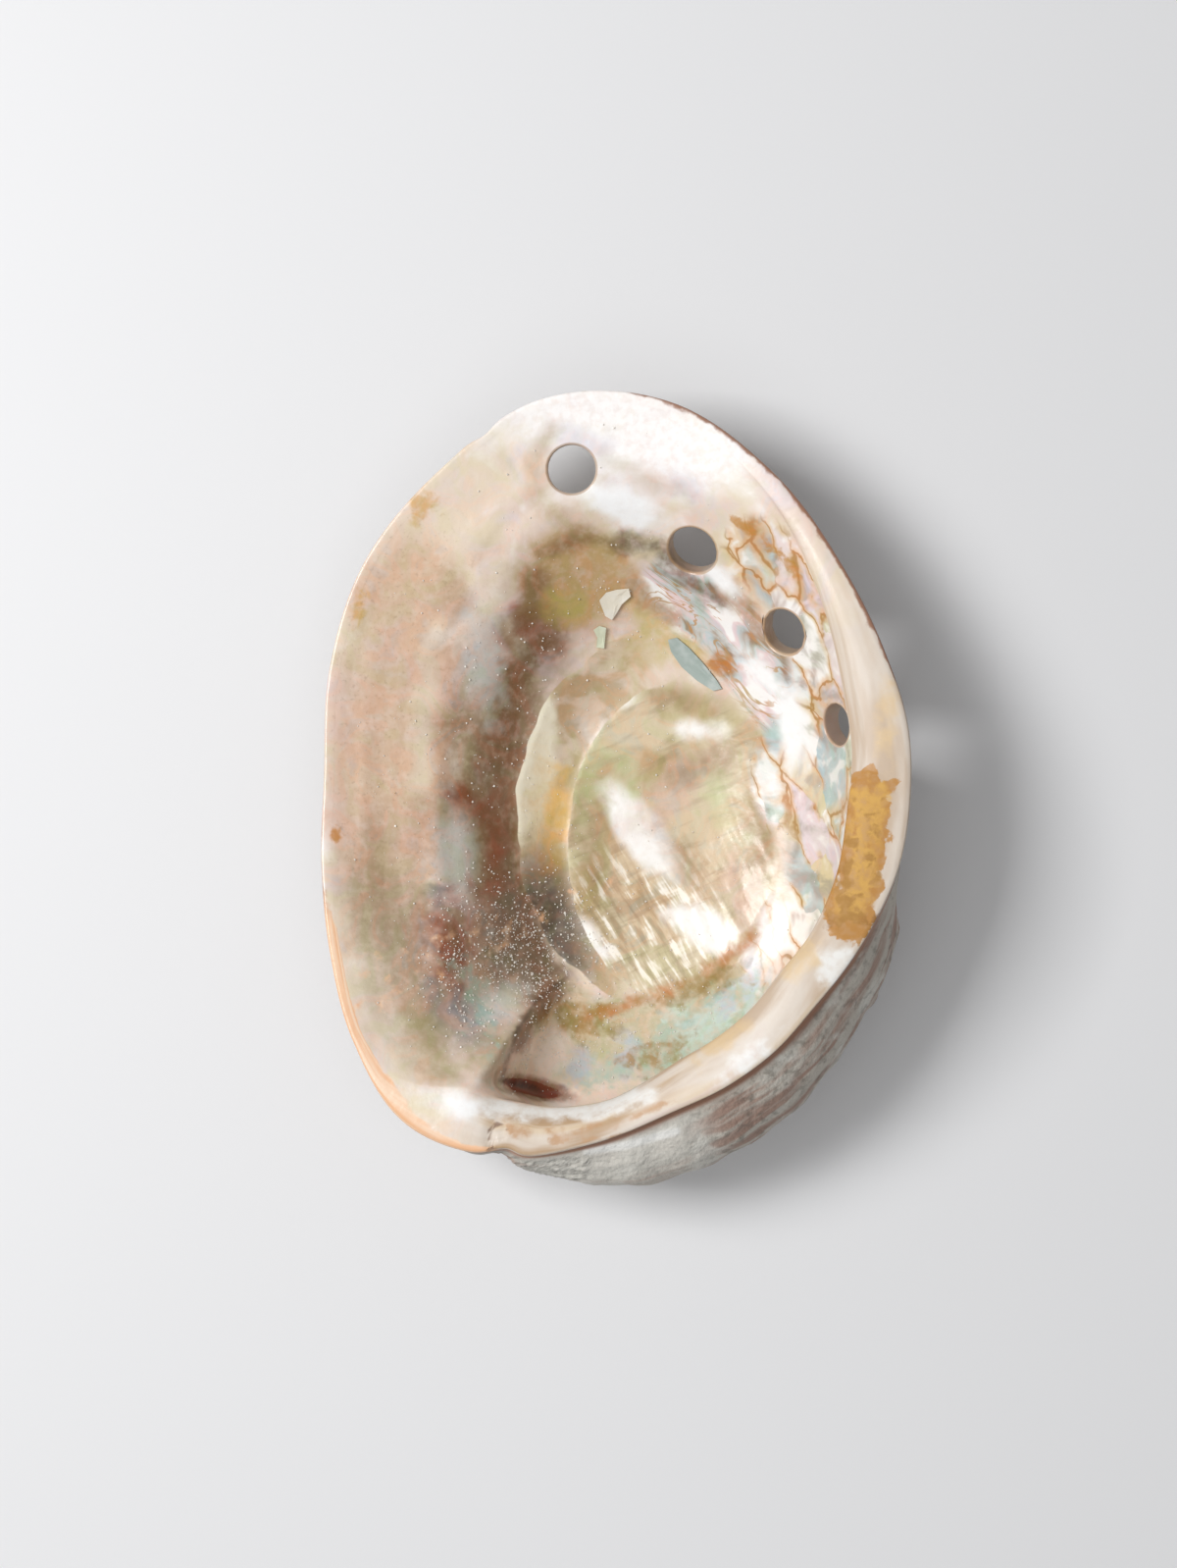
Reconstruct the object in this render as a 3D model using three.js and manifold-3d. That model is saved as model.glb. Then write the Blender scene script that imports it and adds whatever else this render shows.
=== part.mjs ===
// An abalone shell lying on its back, with the pearly hollow facing up.
// Millimetres, +Z up. +Y points to the front end, where the newest breathing hole is, and the spire is at -Y.
// The origin is under the middle of the shell, on the surface that it rests on.
// Angles run anticlockwise seen from above, from +X, about the vertical line through the deepest point.
import * as THREE from "three";
import { mergeVertices } from "three/addons/utils/BufferGeometryUtils.js";
import Module from "manifold-3d";

const DEG = Math.PI / 180;

// Place of the deepest point in the plan.
const DEEPEST_X = 9.4;
const DEEPEST_Y = -12.95;

// Distance of the lip's outer edge from the deepest point, every 15 degrees from +X.
const RIM_RADII = [
  40.2, 43.6, 48.3, 53.3, 60.8, 71.3, 81.4, 84.8, 80.2, 75.5, 68.9, 62.8,
  61.1, 61.6, 63.7, 64.9, 59.4, 50.8, 43.7, 40.0, 37.4, 35.5, 35.7, 37.3,
];
const RIM_NOTCHES = [
  { angle: 240.5, depth: 1.6, width: 2.6 },
  { angle: 113, depth: 0.7, width: 1.6 },
];

// The rim lies in a tilted plane: the inner lip, with the broad shelf, stands higher than the outer lip.
const RIM_MEAN_HEIGHT = 30.5;
const RIM_TILT_RISE = 8.5;
const RIM_TILT_TOWARDS = -25;

// The thin outer lip, and the shelf of the inner lip, which is as wide as a finger along the +X side.
const LIP_THICKNESS = 2.2;
const SHELF_WIDTH = 5.8;
const SHELF_BROAD_PARTS = [
  { angle: 20, extra: 3.1, reach: 52 },
  { angle: -127, extra: 3.9, reach: 26 },
];
const LIP_SLOPE_DROP = 0.3;
const SHELF_SLOPE_DROP = 2.6;
const SHELF_CROWN = 0.5;

// How deep the rounded inner edge of the shelf and the outer edge of the lip reach below their tops,
// and how far the hollow's wall stands back behind the shelf's edge.
const SHELF_EDGE_DEPTH = 2.4;
const LIP_EDGE_DEPTH = 2.0;
const WALL_SETBACK = 0.9;

// The wall: its thickness at the deepest point, how far the hollow reaches under the shelf,
// and how far the outside bulges past the rim at the spire end.
const FLOOR_THICKNESS = 3.7;
const UNDERCUT = 14;
const BULGE = 12.8;
const WORN_DEPTH = 0.4;

// The spiral: where the spire's tip is on the outside, how fast the shell widens for each radian of turn,
// and the seam between the whorls, which starts at the notch in the rim.
const SPIRE_ANGLE = 249;
const SPIRE_SHARE = 0.33;
const SPIRAL_GROWTH = 0.45;
const SEAM_START_ANGLE = 226;
const SEAM_START_RADIUS = 24;
const SEAM_DEPTH = 1.5;
const SEAM_FULL_DEPTH_RADIUS = 7;
const SEAM_HALF_WIDTH = { share: 0.16, least: 0.4 };

// Breathing holes, newest first: angle, share of the way out to the rim's inner edge, and radius.
const HOLES = [
  { angle: 103.5, share: 0.865, radius: 4.2 },
  { angle: 85, share: 0.735, radius: 4.4 },
  { angle: 62.8, share: 0.815, radius: 4.1 },
  { angle: 38.8, share: 0.93, radius: 3.7 },
];
const HOLE_RIM_RISE = 1.5;
const HOLE_RIM_CREST = 0.6;
const HOLE_RIM_SPREAD = 2.4;
const HOLE_RIM_REACH = 20;
const HOLE_LENGTH = 26;
const HOLE_SIDES = 26;

// Older holes, healed over, run on under the shelf towards the spire, each smaller than the last.
const HEALED_HOLES = 8;
const HEALED_FIRST = { angle: 17, share: 0.8, radius: 3.6 };
const HEALED_LAST = { angle: -100, share: 0.5, radius: 1.8 };
const HEALED_RISE = 1.3;

// The pad where the muscle held the shell: two low steps with oval outlines on the floor of the hollow.
const SCAR_STEPS = [
  { x: 7.6, y: -4, halfWidth: 24.0, halfLength: 33.0, rise: 0.6 },
  { x: 11.3, y: -9.9, halfWidth: 19.5, halfLength: 29.0, rise: 0.6 },
];

// Growth folds on the outside: how many for each radian of growth, and how high they stand.
const FOLDS_PER_RADIAN = 22;
const FOLD_RISE = 0.35;
const FOLDS_FADE_FROM = 0.93;

// How the wall climbs towards the outer lip: the share of the climb in the S, and where the S begins and ends,
// with how much further out it lies towards the front and beside the spire.
const FLARE_STEP = { climb: 0.7, from: 0.3, to: 0.72, fromShift: 0.14, toShift: 0.22 };

// How finely the solid is faceted: rings from the deepest point to the rim, and rows over the rim.
const RINGS = 21;
const RIM_ROWS = 6;

const clamp01 = (x) => Math.min(1, Math.max(0, x));
const mix = (a, b, t) => a + (b - a) * t;

// Rises smoothly from 0 at a to 1 at b.
function ramp(a, b, x) {
  const t = clamp01((x - a) / (b - a));
  return t * t * (3 - 2 * t);
}

// The same direction as a turn of -180 to 180 degrees.
const signedTurn = (angle) => ((((angle + 180) % 360) + 360) % 360) - 180;

// A smooth closed curve through values evenly spaced round a full turn.
function roundTurn(values, angle) {
  const n = values.length;
  const place = ((((angle / 360) * n) % n) + n) % n;
  const i = Math.floor(place);
  const t = place - i;
  const [a, b, c, d] = [-1, 0, 1, 2].map((k) => values[(i + k + n) % n]);
  return b + 0.5 * t * (c - a + t * (2 * a - 5 * b + 4 * c - d + t * (3 * (b - c) + d - a)));
}

const rimHeight = (angle) => RIM_MEAN_HEIGHT + RIM_TILT_RISE * Math.cos((angle - RIM_TILT_TOWARDS) * DEG);

function rimRadius(angle) {
  let radius = roundTurn(RIM_RADII, angle);
  for (const notch of RIM_NOTCHES) {
    radius -= notch.depth * Math.exp(-((signedTurn(angle - notch.angle) / notch.width) ** 2));
  }
  return radius;
}

// 1 along the inner lip, which has the shelf and a steep wall, and 0 along the flared outer lip.
// On the inside the change at the spire end is sudden, and makes the fold beside the spire's pit.
function insideLip(angle) {
  const turn = signedTurn(angle);
  return ramp(-132, -123, turn) * (1 - ramp(35, 85, turn));
}

function outsideLip(angle) {
  const turn = signedTurn(angle);
  return ramp(-147, -132, turn) * (1 - ramp(40, 100, turn));
}

function shelfWidth(angle) {
  const turn = signedTurn(angle);
  let width = LIP_THICKNESS + SHELF_WIDTH * ramp(-144, -130, turn) * (1 - ramp(45, 95, turn));
  for (const part of SHELF_BROAD_PARTS) {
    width += part.extra * (1 - ramp(0, part.reach, Math.abs(turn - part.angle)));
  }
  return width;
}

function undercut(angle) {
  const turn = signedTurn(angle);
  return UNDERCUT * ramp(-134, -108, turn) * (1 - ramp(-75, 45, turn));
}

function bulge(angle) {
  const turn = signedTurn(angle);
  return BULGE * ramp(-128, -88, turn) * (1 - ramp(-88, 48, turn));
}

// Share of the rise to the rim at each share of the way out. The outer lip's wall is an S with a nearly level
// flare, which lies further out towards the front and beside the spire. The inner lip's wall is a bowl.
function flaredRise(angle, share) {
  const turn = signedTurn(angle);
  const shift = turn > 0 ? 1 - ramp(75, 140, turn) : ramp(-165, -130, turn);
  const { climb, from, to, fromShift, toShift } = FLARE_STEP;
  return climb * ramp(from + fromShift * shift, to + toShift * shift, share) + (1 - climb) * share ** 2;
}
const steepRise = (share) => 0.28 * share ** 2 + 0.72 * share ** 4.5;
const sideRise = (share) => 0.66 * share ** 2 + 0.34 * share ** 4;

function place(angle, radius, height) {
  return new THREE.Vector3(
    DEEPEST_X + radius * Math.cos(angle * DEG),
    DEEPEST_Y + radius * Math.sin(angle * DEG),
    height,
  );
}

// The inner edge of the lip or shelf. The small notches in the outline don't reach it.
const shelfInnerRadius = (angle) => roundTurn(RIM_RADII, angle) - shelfWidth(angle);
const shelfInnerHeight = (angle) => rimHeight(angle) - mix(LIP_SLOPE_DROP, SHELF_SLOPE_DROP, insideLip(angle));

// How far a point of the floor lies on the steps of the muscle pad.
function scarRise(point) {
  let rise = 0;
  for (const step of SCAR_STEPS) {
    const off = Math.hypot((point.x - step.x) / step.halfWidth, (point.y - step.y) / step.halfLength);
    rise += step.rise * (1 - ramp(0.94, 1.04, off));
  }
  return rise;
}

// A point of the hollow's wall. The wall reaches out under the shelf and comes back at its edge.
function innerPoint(angle, share) {
  const lip = insideLip(angle);
  const reach = shelfInnerRadius(angle) + WALL_SETBACK * lip;
  const radius = share * reach + undercut(angle) * Math.sin(Math.PI * share ** 2.6);
  const top = shelfInnerHeight(angle) - SHELF_EDGE_DEPTH * lip;
  const rise = mix(flaredRise(angle, share), steepRise(share), lip);
  const point = place(angle, radius, mix(FLOOR_THICKNESS, top, rise));
  point.z += scarRise(point);
  return point;
}

// A point of the outside before its relief: flared, steep, or an arc that bulges past the rim.
function outerForm(angle, share) {
  const turn = signedTurn(angle);
  const lip = outsideLip(angle);
  const round = lip * ramp(-147, -124, turn) * (1 - ramp(-25, 35, turn));
  const edge = rimRadius(angle);
  const full = edge + bulge(angle);
  const arcEnd = Math.PI - Math.asin(Math.min(1, edge / full));
  const arc = share * arcEnd;
  const arcRadius = Math.sin(arc) * full;
  const arcRise = (1 - Math.cos(arc)) / (1 - Math.cos(arcEnd));
  const plainRise = mix(flaredRise(angle, share), sideRise(share), lip);
  const radius = mix(share * edge, arcRadius, round);
  const height = (rimHeight(angle) - LIP_EDGE_DEPTH) * mix(plainRise, arcRise, round);
  return place(angle, radius, height);
}

// The outward normal of the outside, from its neighbours.
function outerNormal(angle, share) {
  const step = 0.01;
  const at = Math.max(share, 2 * step);
  const out = outerForm(angle, at + step).sub(outerForm(angle, at - step));
  const along = outerForm(angle + 1, at).sub(outerForm(angle - 1, at));
  return along.cross(out).normalize();
}

const SPIRE_TIP = outerForm(SPIRE_ANGLE, SPIRE_SHARE);

// Place about the spire's tip: the direction in the plan, and the straight distance.
// The direction is at most the one in which the seam starts, and more than a full turn less.
function aboutSpire(point) {
  const off = point.clone().sub(SPIRE_TIP);
  let angle = Math.atan2(off.y, off.x) / DEG;
  if (angle <= SEAM_START_ANGLE - 360) angle += 360;
  return { angle, radius: Math.max(off.length(), 0.05) };
}

// The present lip's distance from the spire's tip in each direction, from the front end round to the seam.
const LIP_ABOUT_SPIRE = Array.from({ length: 60 }, (_, i) => aboutSpire(outerForm(mix(75, 239, i / 59), 1)));

function lipDistance(angle) {
  const table = LIP_ABOUT_SPIRE;
  const next = table.findIndex((spot) => spot.angle > angle);
  if (next === 0) return table[0].radius;
  if (next < 0) return table[table.length - 1].radius;
  const t = (angle - table[next - 1].angle) / (table[next].angle - table[next - 1].angle);
  return mix(table[next - 1].radius, table[next].radius, t);
}

// How long ago, in radians of turn, the lip stood at this place. Each older lip is the present one,
// turned back about the spire and shrunk in proportion.
function growthAge(spot) {
  const start = Math.max(0, LIP_ABOUT_SPIRE[0].angle - spot.angle);
  const step = 4;
  const gapAt = (back) =>
    Math.log(spot.radius / lipDistance(spot.angle + back)) + SPIRAL_GROWTH * back * DEG;
  let before = gapAt(start);
  for (let back = start + step; back < start + 400; back += step) {
    const gap = gapAt(back);
    if (gap >= 0) return (back - (step * gap) / Math.max(gap - before, 1e-6)) * DEG;
    before = gap;
  }
  return 2 * Math.PI;
}

// The groove between the whorls.
function seamDrop(spot) {
  const seam = SEAM_START_RADIUS * Math.exp(SPIRAL_GROWTH * (spot.angle - SEAM_START_ANGLE) * DEG);
  const halfWidth = SEAM_HALF_WIDTH.share * seam + SEAM_HALF_WIDTH.least;
  return SEAM_DEPTH * Math.min(1, seam / SEAM_FULL_DEPTH_RADIUS) * Math.exp(-(((spot.radius - seam) / halfWidth) ** 2));
}

// A hole runs halfway between the wall's normal and upright.
function holeSeat(hole) {
  const inside = innerPoint(hole.angle, hole.share);
  const step = 0.02;
  const out = innerPoint(hole.angle, hole.share + step).sub(innerPoint(hole.angle, hole.share - step));
  const along = innerPoint(hole.angle + 2, hole.share).sub(innerPoint(hole.angle - 2, hole.share));
  const normal = out.cross(along).normalize();
  const axis = normal.add(new THREE.Vector3(0, 0, 1)).normalize();
  return { inside, axis, radius: hole.radius };
}
const HOLE_SEATS = HOLES.map(holeSeat);

const HEALED_SEATS = Array.from({ length: HEALED_HOLES }, (_, i) => {
  const t = i / (HEALED_HOLES - 1);
  return {
    point: outerForm(
      mix(HEALED_FIRST.angle, HEALED_LAST.angle, t),
      mix(HEALED_FIRST.share, HEALED_LAST.share, t),
    ),
    radius: mix(HEALED_FIRST.radius, HEALED_LAST.radius, t),
  };
});

// Distance of a point from the line through the middle of a hole.
function fromAxis(point, seat) {
  const off = point.clone().sub(seat.inside);
  return off.addScaledVector(seat.axis, -off.dot(seat.axis)).length();
}

function outerRelief(point, share) {
  const spot = aboutSpire(point);
  let rise = -seamDrop(spot);
  for (const seat of HOLE_SEATS) {
    if (point.distanceTo(seat.inside) > HOLE_RIM_REACH) continue;
    const fromCrest = fromAxis(point, seat) - seat.radius - HOLE_RIM_CREST;
    rise += HOLE_RIM_RISE * Math.exp(-((fromCrest / HOLE_RIM_SPREAD) ** 2));
  }
  for (const seat of HEALED_SEATS) {
    const size = seat.radius / HEALED_FIRST.radius;
    rise += HEALED_RISE * size * Math.exp(-((point.distanceTo(seat.point) / seat.radius) ** 2));
  }
  return rise + FOLD_RISE * Math.sin(FOLDS_PER_RADIAN * growthAge(spot));
}

// A point of the finished outside. The lowest part is worn flat, where the shell rests.
function outerPoint(angle, share) {
  const form = outerForm(angle, share);
  const fade = 1 - ramp(FOLDS_FADE_FROM, 1, share);
  form.addScaledVector(outerNormal(angle, share), outerRelief(form, share) * fade);
  form.z = Math.max(form.z, WORN_DEPTH);
  return form;
}

// The section over the rim, from the top of the hollow's wall across the lip or shelf to the outside.
function rimSection(angle) {
  const lip = insideLip(angle);
  const inner = shelfInnerRadius(angle);
  const outer = rimRadius(angle);
  const innerTop = shelfInnerHeight(angle);
  const outerTop = rimHeight(angle);
  const across = (t, drop) => [mix(inner, outer, t), mix(innerTop, outerTop, t ** 0.8) - drop];
  return [
    [inner + WALL_SETBACK * lip, innerTop - SHELF_EDGE_DEPTH * lip],
    [inner - 0.1 * lip, innerTop - 0.8 * lip],
    across(0.14, 0),
    across(0.5, -SHELF_CROWN * lip),
    across(0.86, 0.15),
    [outer - 0.1, outerTop - 0.35 * LIP_EDGE_DEPTH],
    [outer, outerTop - LIP_EDGE_DEPTH],
  ].map(([radius, height]) => place(angle, radius, height));
}

// The shell wall as one closed surface: a disc of squares in rings for the hollow, another for the outside,
// and a band over the rim between them.
function shellGeometry() {
  const side = 2 * RINGS + 1;
  const positions = [];
  const faces = [];
  const polar = (i, j) => {
    const a = (i - RINGS) / RINGS;
    const b = (j - RINGS) / RINGS;
    if (a === 0 && b === 0) return [0, 0];
    if (Math.abs(a) > Math.abs(b)) return [(45 * b) / a + (a < 0 ? 180 : 0), Math.abs(a)];
    return [90 - (45 * a) / b + (b < 0 ? 180 : 0), Math.abs(b)];
  };
  const addDisc = (surface, up) => {
    const first = positions.length / 3;
    for (let j = 0; j < side; j += 1) {
      for (let i = 0; i < side; i += 1) positions.push(...surface(...polar(i, j)).toArray());
    }
    for (let j = 0; j < side - 1; j += 1) {
      for (let i = 0; i < side - 1; i += 1) {
        const a = first + j * side + i;
        const corners = [a, a + 1, a + side + 1, a + side];
        const diagonal = (i < RINGS) === (j < RINGS) ? [0, 1, 2, 0, 2, 3] : [0, 1, 3, 1, 2, 3];
        const order = up ? diagonal : [...diagonal].reverse();
        faces.push(...order.map((k) => corners[k]));
      }
    }
    return first;
  };
  const innerFirst = addDisc(innerPoint, true);
  const outerFirst = addDisc(outerPoint, false);

  // The grid places on the border, once round, anticlockwise from the lower left corner.
  const border = [];
  const last = side - 1;
  for (let i = 0; i < last; i += 1) border.push([i, 0]);
  for (let j = 0; j < last; j += 1) border.push([last, j]);
  for (let i = last; i > 0; i -= 1) border.push([i, last]);
  for (let j = last; j > 0; j -= 1) border.push([0, j]);

  const rows = [border.map(([i, j]) => innerFirst + j * side + i)];
  for (let row = 1; row < RIM_ROWS; row += 1) {
    rows.push(
      border.map(([i, j]) => {
        positions.push(...rimSection(polar(i, j)[0])[row].toArray());
        return positions.length / 3 - 1;
      }),
    );
  }
  rows.push(border.map(([i, j]) => outerFirst + j * side + i));
  for (let row = 0; row < rows.length - 1; row += 1) {
    for (let k = 0; k < border.length; k += 1) {
      const next = (k + 1) % border.length;
      const [a, b, c, d] = [rows[row][k], rows[row][next], rows[row + 1][next], rows[row + 1][k]];
      faces.push(a, c, b, a, d, c);
    }
  }

  const geometry = new THREE.BufferGeometry();
  geometry.setAttribute("position", new THREE.Float32BufferAttribute(positions, 3));
  geometry.setIndex(faces);
  geometry.translate(0, 0, -WORN_DEPTH);
  return geometry;
}

// The tool that opens one hole, along its axis.
function holeCutter(seat) {
  const cutter = new THREE.CylinderGeometry(seat.radius, seat.radius, HOLE_LENGTH, HOLE_SIDES);
  cutter.applyQuaternion(new THREE.Quaternion().setFromUnitVectors(new THREE.Vector3(0, 1, 0), seat.axis));
  cutter.translate(seat.inside.x, seat.inside.y, seat.inside.z - WORN_DEPTH);
  return cutter;
}

const wasm = await Module();
wasm.setup();

function toSolid(geometry) {
  const bare = geometry.clone();
  bare.deleteAttribute("normal");
  bare.deleteAttribute("uv");
  const merged = mergeVertices(bare, 1e-4);
  return new wasm.Manifold(
    new wasm.Mesh({
      numProp: 3,
      vertProperties: merged.attributes.position.array,
      triVerts: new Uint32Array(merged.index.array),
    }),
  );
}

function toGeometry(solid) {
  const mesh = solid.getMesh();
  const geometry = new THREE.BufferGeometry();
  geometry.setAttribute("position", new THREE.Float32BufferAttribute(mesh.vertProperties, 3));
  geometry.setIndex(new THREE.Uint32BufferAttribute(mesh.triVerts, 1));
  geometry.computeVertexNormals();
  return geometry;
}

function makeShell() {
  let solid = toSolid(shellGeometry());
  for (const seat of HOLE_SEATS) solid = solid.subtract(toSolid(holeCutter(seat)));
  const nacre = new THREE.MeshStandardMaterial({ color: 0xe6dcd2, roughness: 0.35, metalness: 0 });
  const shell = new THREE.Mesh(toGeometry(solid), nacre);
  shell.name = "shell";
  return shell;
}

const abalone = new THREE.Group();
abalone.add(makeShell());

export default abalone;
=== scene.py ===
"""An abalone shell lying on its back, with its pearly hollow facing up.

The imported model's one node, shell, is rebuilt here as a fine mesh from the same formulas, in millimetres about
the same origin, and gets what the plain solid leaves out: the rounded mouths of the breathing holes, the scalloped
pad where the muscle held, the growth lines on the outside and the colours of the nacre. Three loose chips and a dust
of sand lie on it.
"""

import logging
import math
from collections.abc import Callable
from dataclasses import dataclass, field
from enum import Enum

import bpy
import numpy as np
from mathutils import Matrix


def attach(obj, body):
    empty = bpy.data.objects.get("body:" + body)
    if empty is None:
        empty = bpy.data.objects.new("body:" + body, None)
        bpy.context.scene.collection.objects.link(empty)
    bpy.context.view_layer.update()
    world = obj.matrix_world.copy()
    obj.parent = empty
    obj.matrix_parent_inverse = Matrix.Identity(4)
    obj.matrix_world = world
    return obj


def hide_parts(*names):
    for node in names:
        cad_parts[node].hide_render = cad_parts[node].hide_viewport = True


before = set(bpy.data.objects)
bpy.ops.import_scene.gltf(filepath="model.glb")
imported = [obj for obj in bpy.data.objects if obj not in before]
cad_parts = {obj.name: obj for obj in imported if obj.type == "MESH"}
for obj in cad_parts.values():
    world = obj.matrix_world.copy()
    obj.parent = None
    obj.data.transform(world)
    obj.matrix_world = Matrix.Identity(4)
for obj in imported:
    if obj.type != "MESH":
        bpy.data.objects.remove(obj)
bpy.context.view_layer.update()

LOG = logging.getLogger("abalone")
MM = 0.001
Array = np.ndarray
Surface = Callable[[Array, Array], Array]

# Odd numbers that mix the bits of a lattice place, and masks that keep its low bits.
AXIS_FACTORS = (374761393, 668265263, 1274126177)
SEED_FACTOR, SEED_START, MIXER = 144665, 7, 2246822519
LOW_32_BITS, LOW_16_BITS = 0xFFFFFFFF, 0xFFFF


# ---------------------------------------------------------------- small formulas


def ramp(low: float, high: float, value: Array) -> Array:
    """Smooth step.

    Args:
        low: where the result leaves 0.
        high: where it reaches 1. It may be lower than low.
        value: the values to place.

    Returns:
        3t^2 - 2t^3, where t is the share of the way from low to high, held to 0..1.
    """
    t = np.clip((np.asarray(value, float) - low) / (high - low), 0.0, 1.0)
    return t * t * (3 - 2 * t)


def mix(a: Array, b: Array, t: Array) -> Array:
    """Returns the value a share t of the way from a to b."""
    return a + (b - a) * t


def signed_turn(angle: Array) -> Array:
    """Returns the same direction as a turn of -180 to 180 degrees."""
    return (np.asarray(angle, float) + 180) % 360 - 180


def curve_through(a: Array, b: Array, c: Array, d: Array, t: Array) -> Array:
    """Returns the Catmull-Rom curve at a share t of the way from b to c, with a before them and d after them."""
    return b + 0.5 * t * (c - a + t * (2 * a - 5 * b + 4 * c - d + t * (3 * (b - c) + d - a)))


def round_turn(values: tuple[float, ...], angle: Array) -> Array:
    """Smooth closed curve through values evenly spaced round a full turn.

    Args:
        values: one value for each equal step of the turn, from 0 degrees.
        angle: directions, in degrees.

    Returns:
        The Catmull-Rom curve through the values at each angle.
    """
    table = np.asarray(values)
    n = len(table)
    spot = (np.asarray(angle, float) / 360 * n) % n
    i = np.floor(spot).astype(int)
    t = spot - i
    return curve_through(*(table[(i + k) % n] for k in (-1, 0, 1, 2)), t)


def lattice_values(cells: Array, seed: int) -> Array:
    """Returns a repeatable value of -1 to 1 for each row of whole numbers, from their mixed bits."""
    mixed = np.full(cells.shape[:-1], seed * SEED_FACTOR + SEED_START, dtype=np.int64)
    for axis, factor in enumerate(AXIS_FACTORS[: cells.shape[-1]]):
        mixed = (mixed + cells[..., axis] * factor) & LOW_32_BITS
        mixed = ((mixed ^ (mixed >> 15)) * MIXER) & LOW_32_BITS
    return ((mixed ^ (mixed >> 13)) & LOW_16_BITS) / (LOW_16_BITS / 2) - 1


def smooth_noise(points: Array, cell: float, seed: int, octaves: int = 1) -> Array:
    """Value noise in one, two or three dimensions.

    Args:
        points: places, with the coordinates last.
        cell: size of the largest bumps, in the same unit.
        seed: picks the pattern.
        octaves: layers, each half the size and half the strength of the one before.

    Returns:
        The sum of the layers, about -1 to 1: in each layer, random corner values of a lattice,
        blended inside each cell with the smooth step.
    """
    total = np.zeros(points.shape[:-1])
    strength, reach = 1.0, 0.0
    for octave in range(octaves):
        scaled = points / cell * 2**octave
        low = np.floor(scaled).astype(np.int64)
        t = scaled - low
        t = t * t * (3 - 2 * t)
        value = np.zeros(points.shape[:-1])
        for corner in np.ndindex(*(2,) * points.shape[-1]):
            step = np.array(corner)
            weight = np.prod(np.where(step == 1, t, 1 - t), axis=-1)
            value += weight * lattice_values(low + step, seed + 31 * octave)
        total += strength * value
        reach += strength
        strength *= 0.5
    return total / reach


def wound(across: Array, angle: Array, reach: float) -> Array:
    """Places for a pattern that is drawn out round the shell and closes on itself.

    Args:
        across: places across it, counted in features.
        angle: directions, in degrees.
        reach: radius of the circle that stands for a full turn, in features.

    Returns:
        The place across, and the cosine and sine of the direction times the reach.
    """
    turn = np.radians(angle)
    return np.stack((across, reach * np.cos(turn), reach * np.sin(turn)), axis=-1)


# ---------------------------------------------------------------- the form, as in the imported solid


@dataclass(frozen=True)
class Bump:
    """A local change along the rim: where, how much, and how far it reaches in degrees."""

    angle: float
    amount: float
    reach: float


@dataclass(frozen=True)
class Stretch:
    """A stretch of the rim: the two directions between which it fades in, and the two between which it fades out."""

    fade_in: tuple[float, float]
    fade_out: tuple[float, float]

    def share(self, turn: Array) -> Array:
        """Returns 1 within the stretch and 0 away from it, with smooth ends."""
        return ramp(*self.fade_in, turn) * (1 - ramp(*self.fade_out, turn))


@dataclass(frozen=True)
class ScarStep:
    """One step of the muscle pad: the middle and half sizes of its oval, in mm."""

    x: float
    y: float
    half_width: float
    half_length: float
    rise: float = 0.6


@dataclass(frozen=True)
class BreathingHole:
    """An open breathing hole: direction, share of the way out to the rim's inner edge, and radius in mm."""

    angle: float
    share: float
    radius: float
    mouth: float = 0.6


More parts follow.
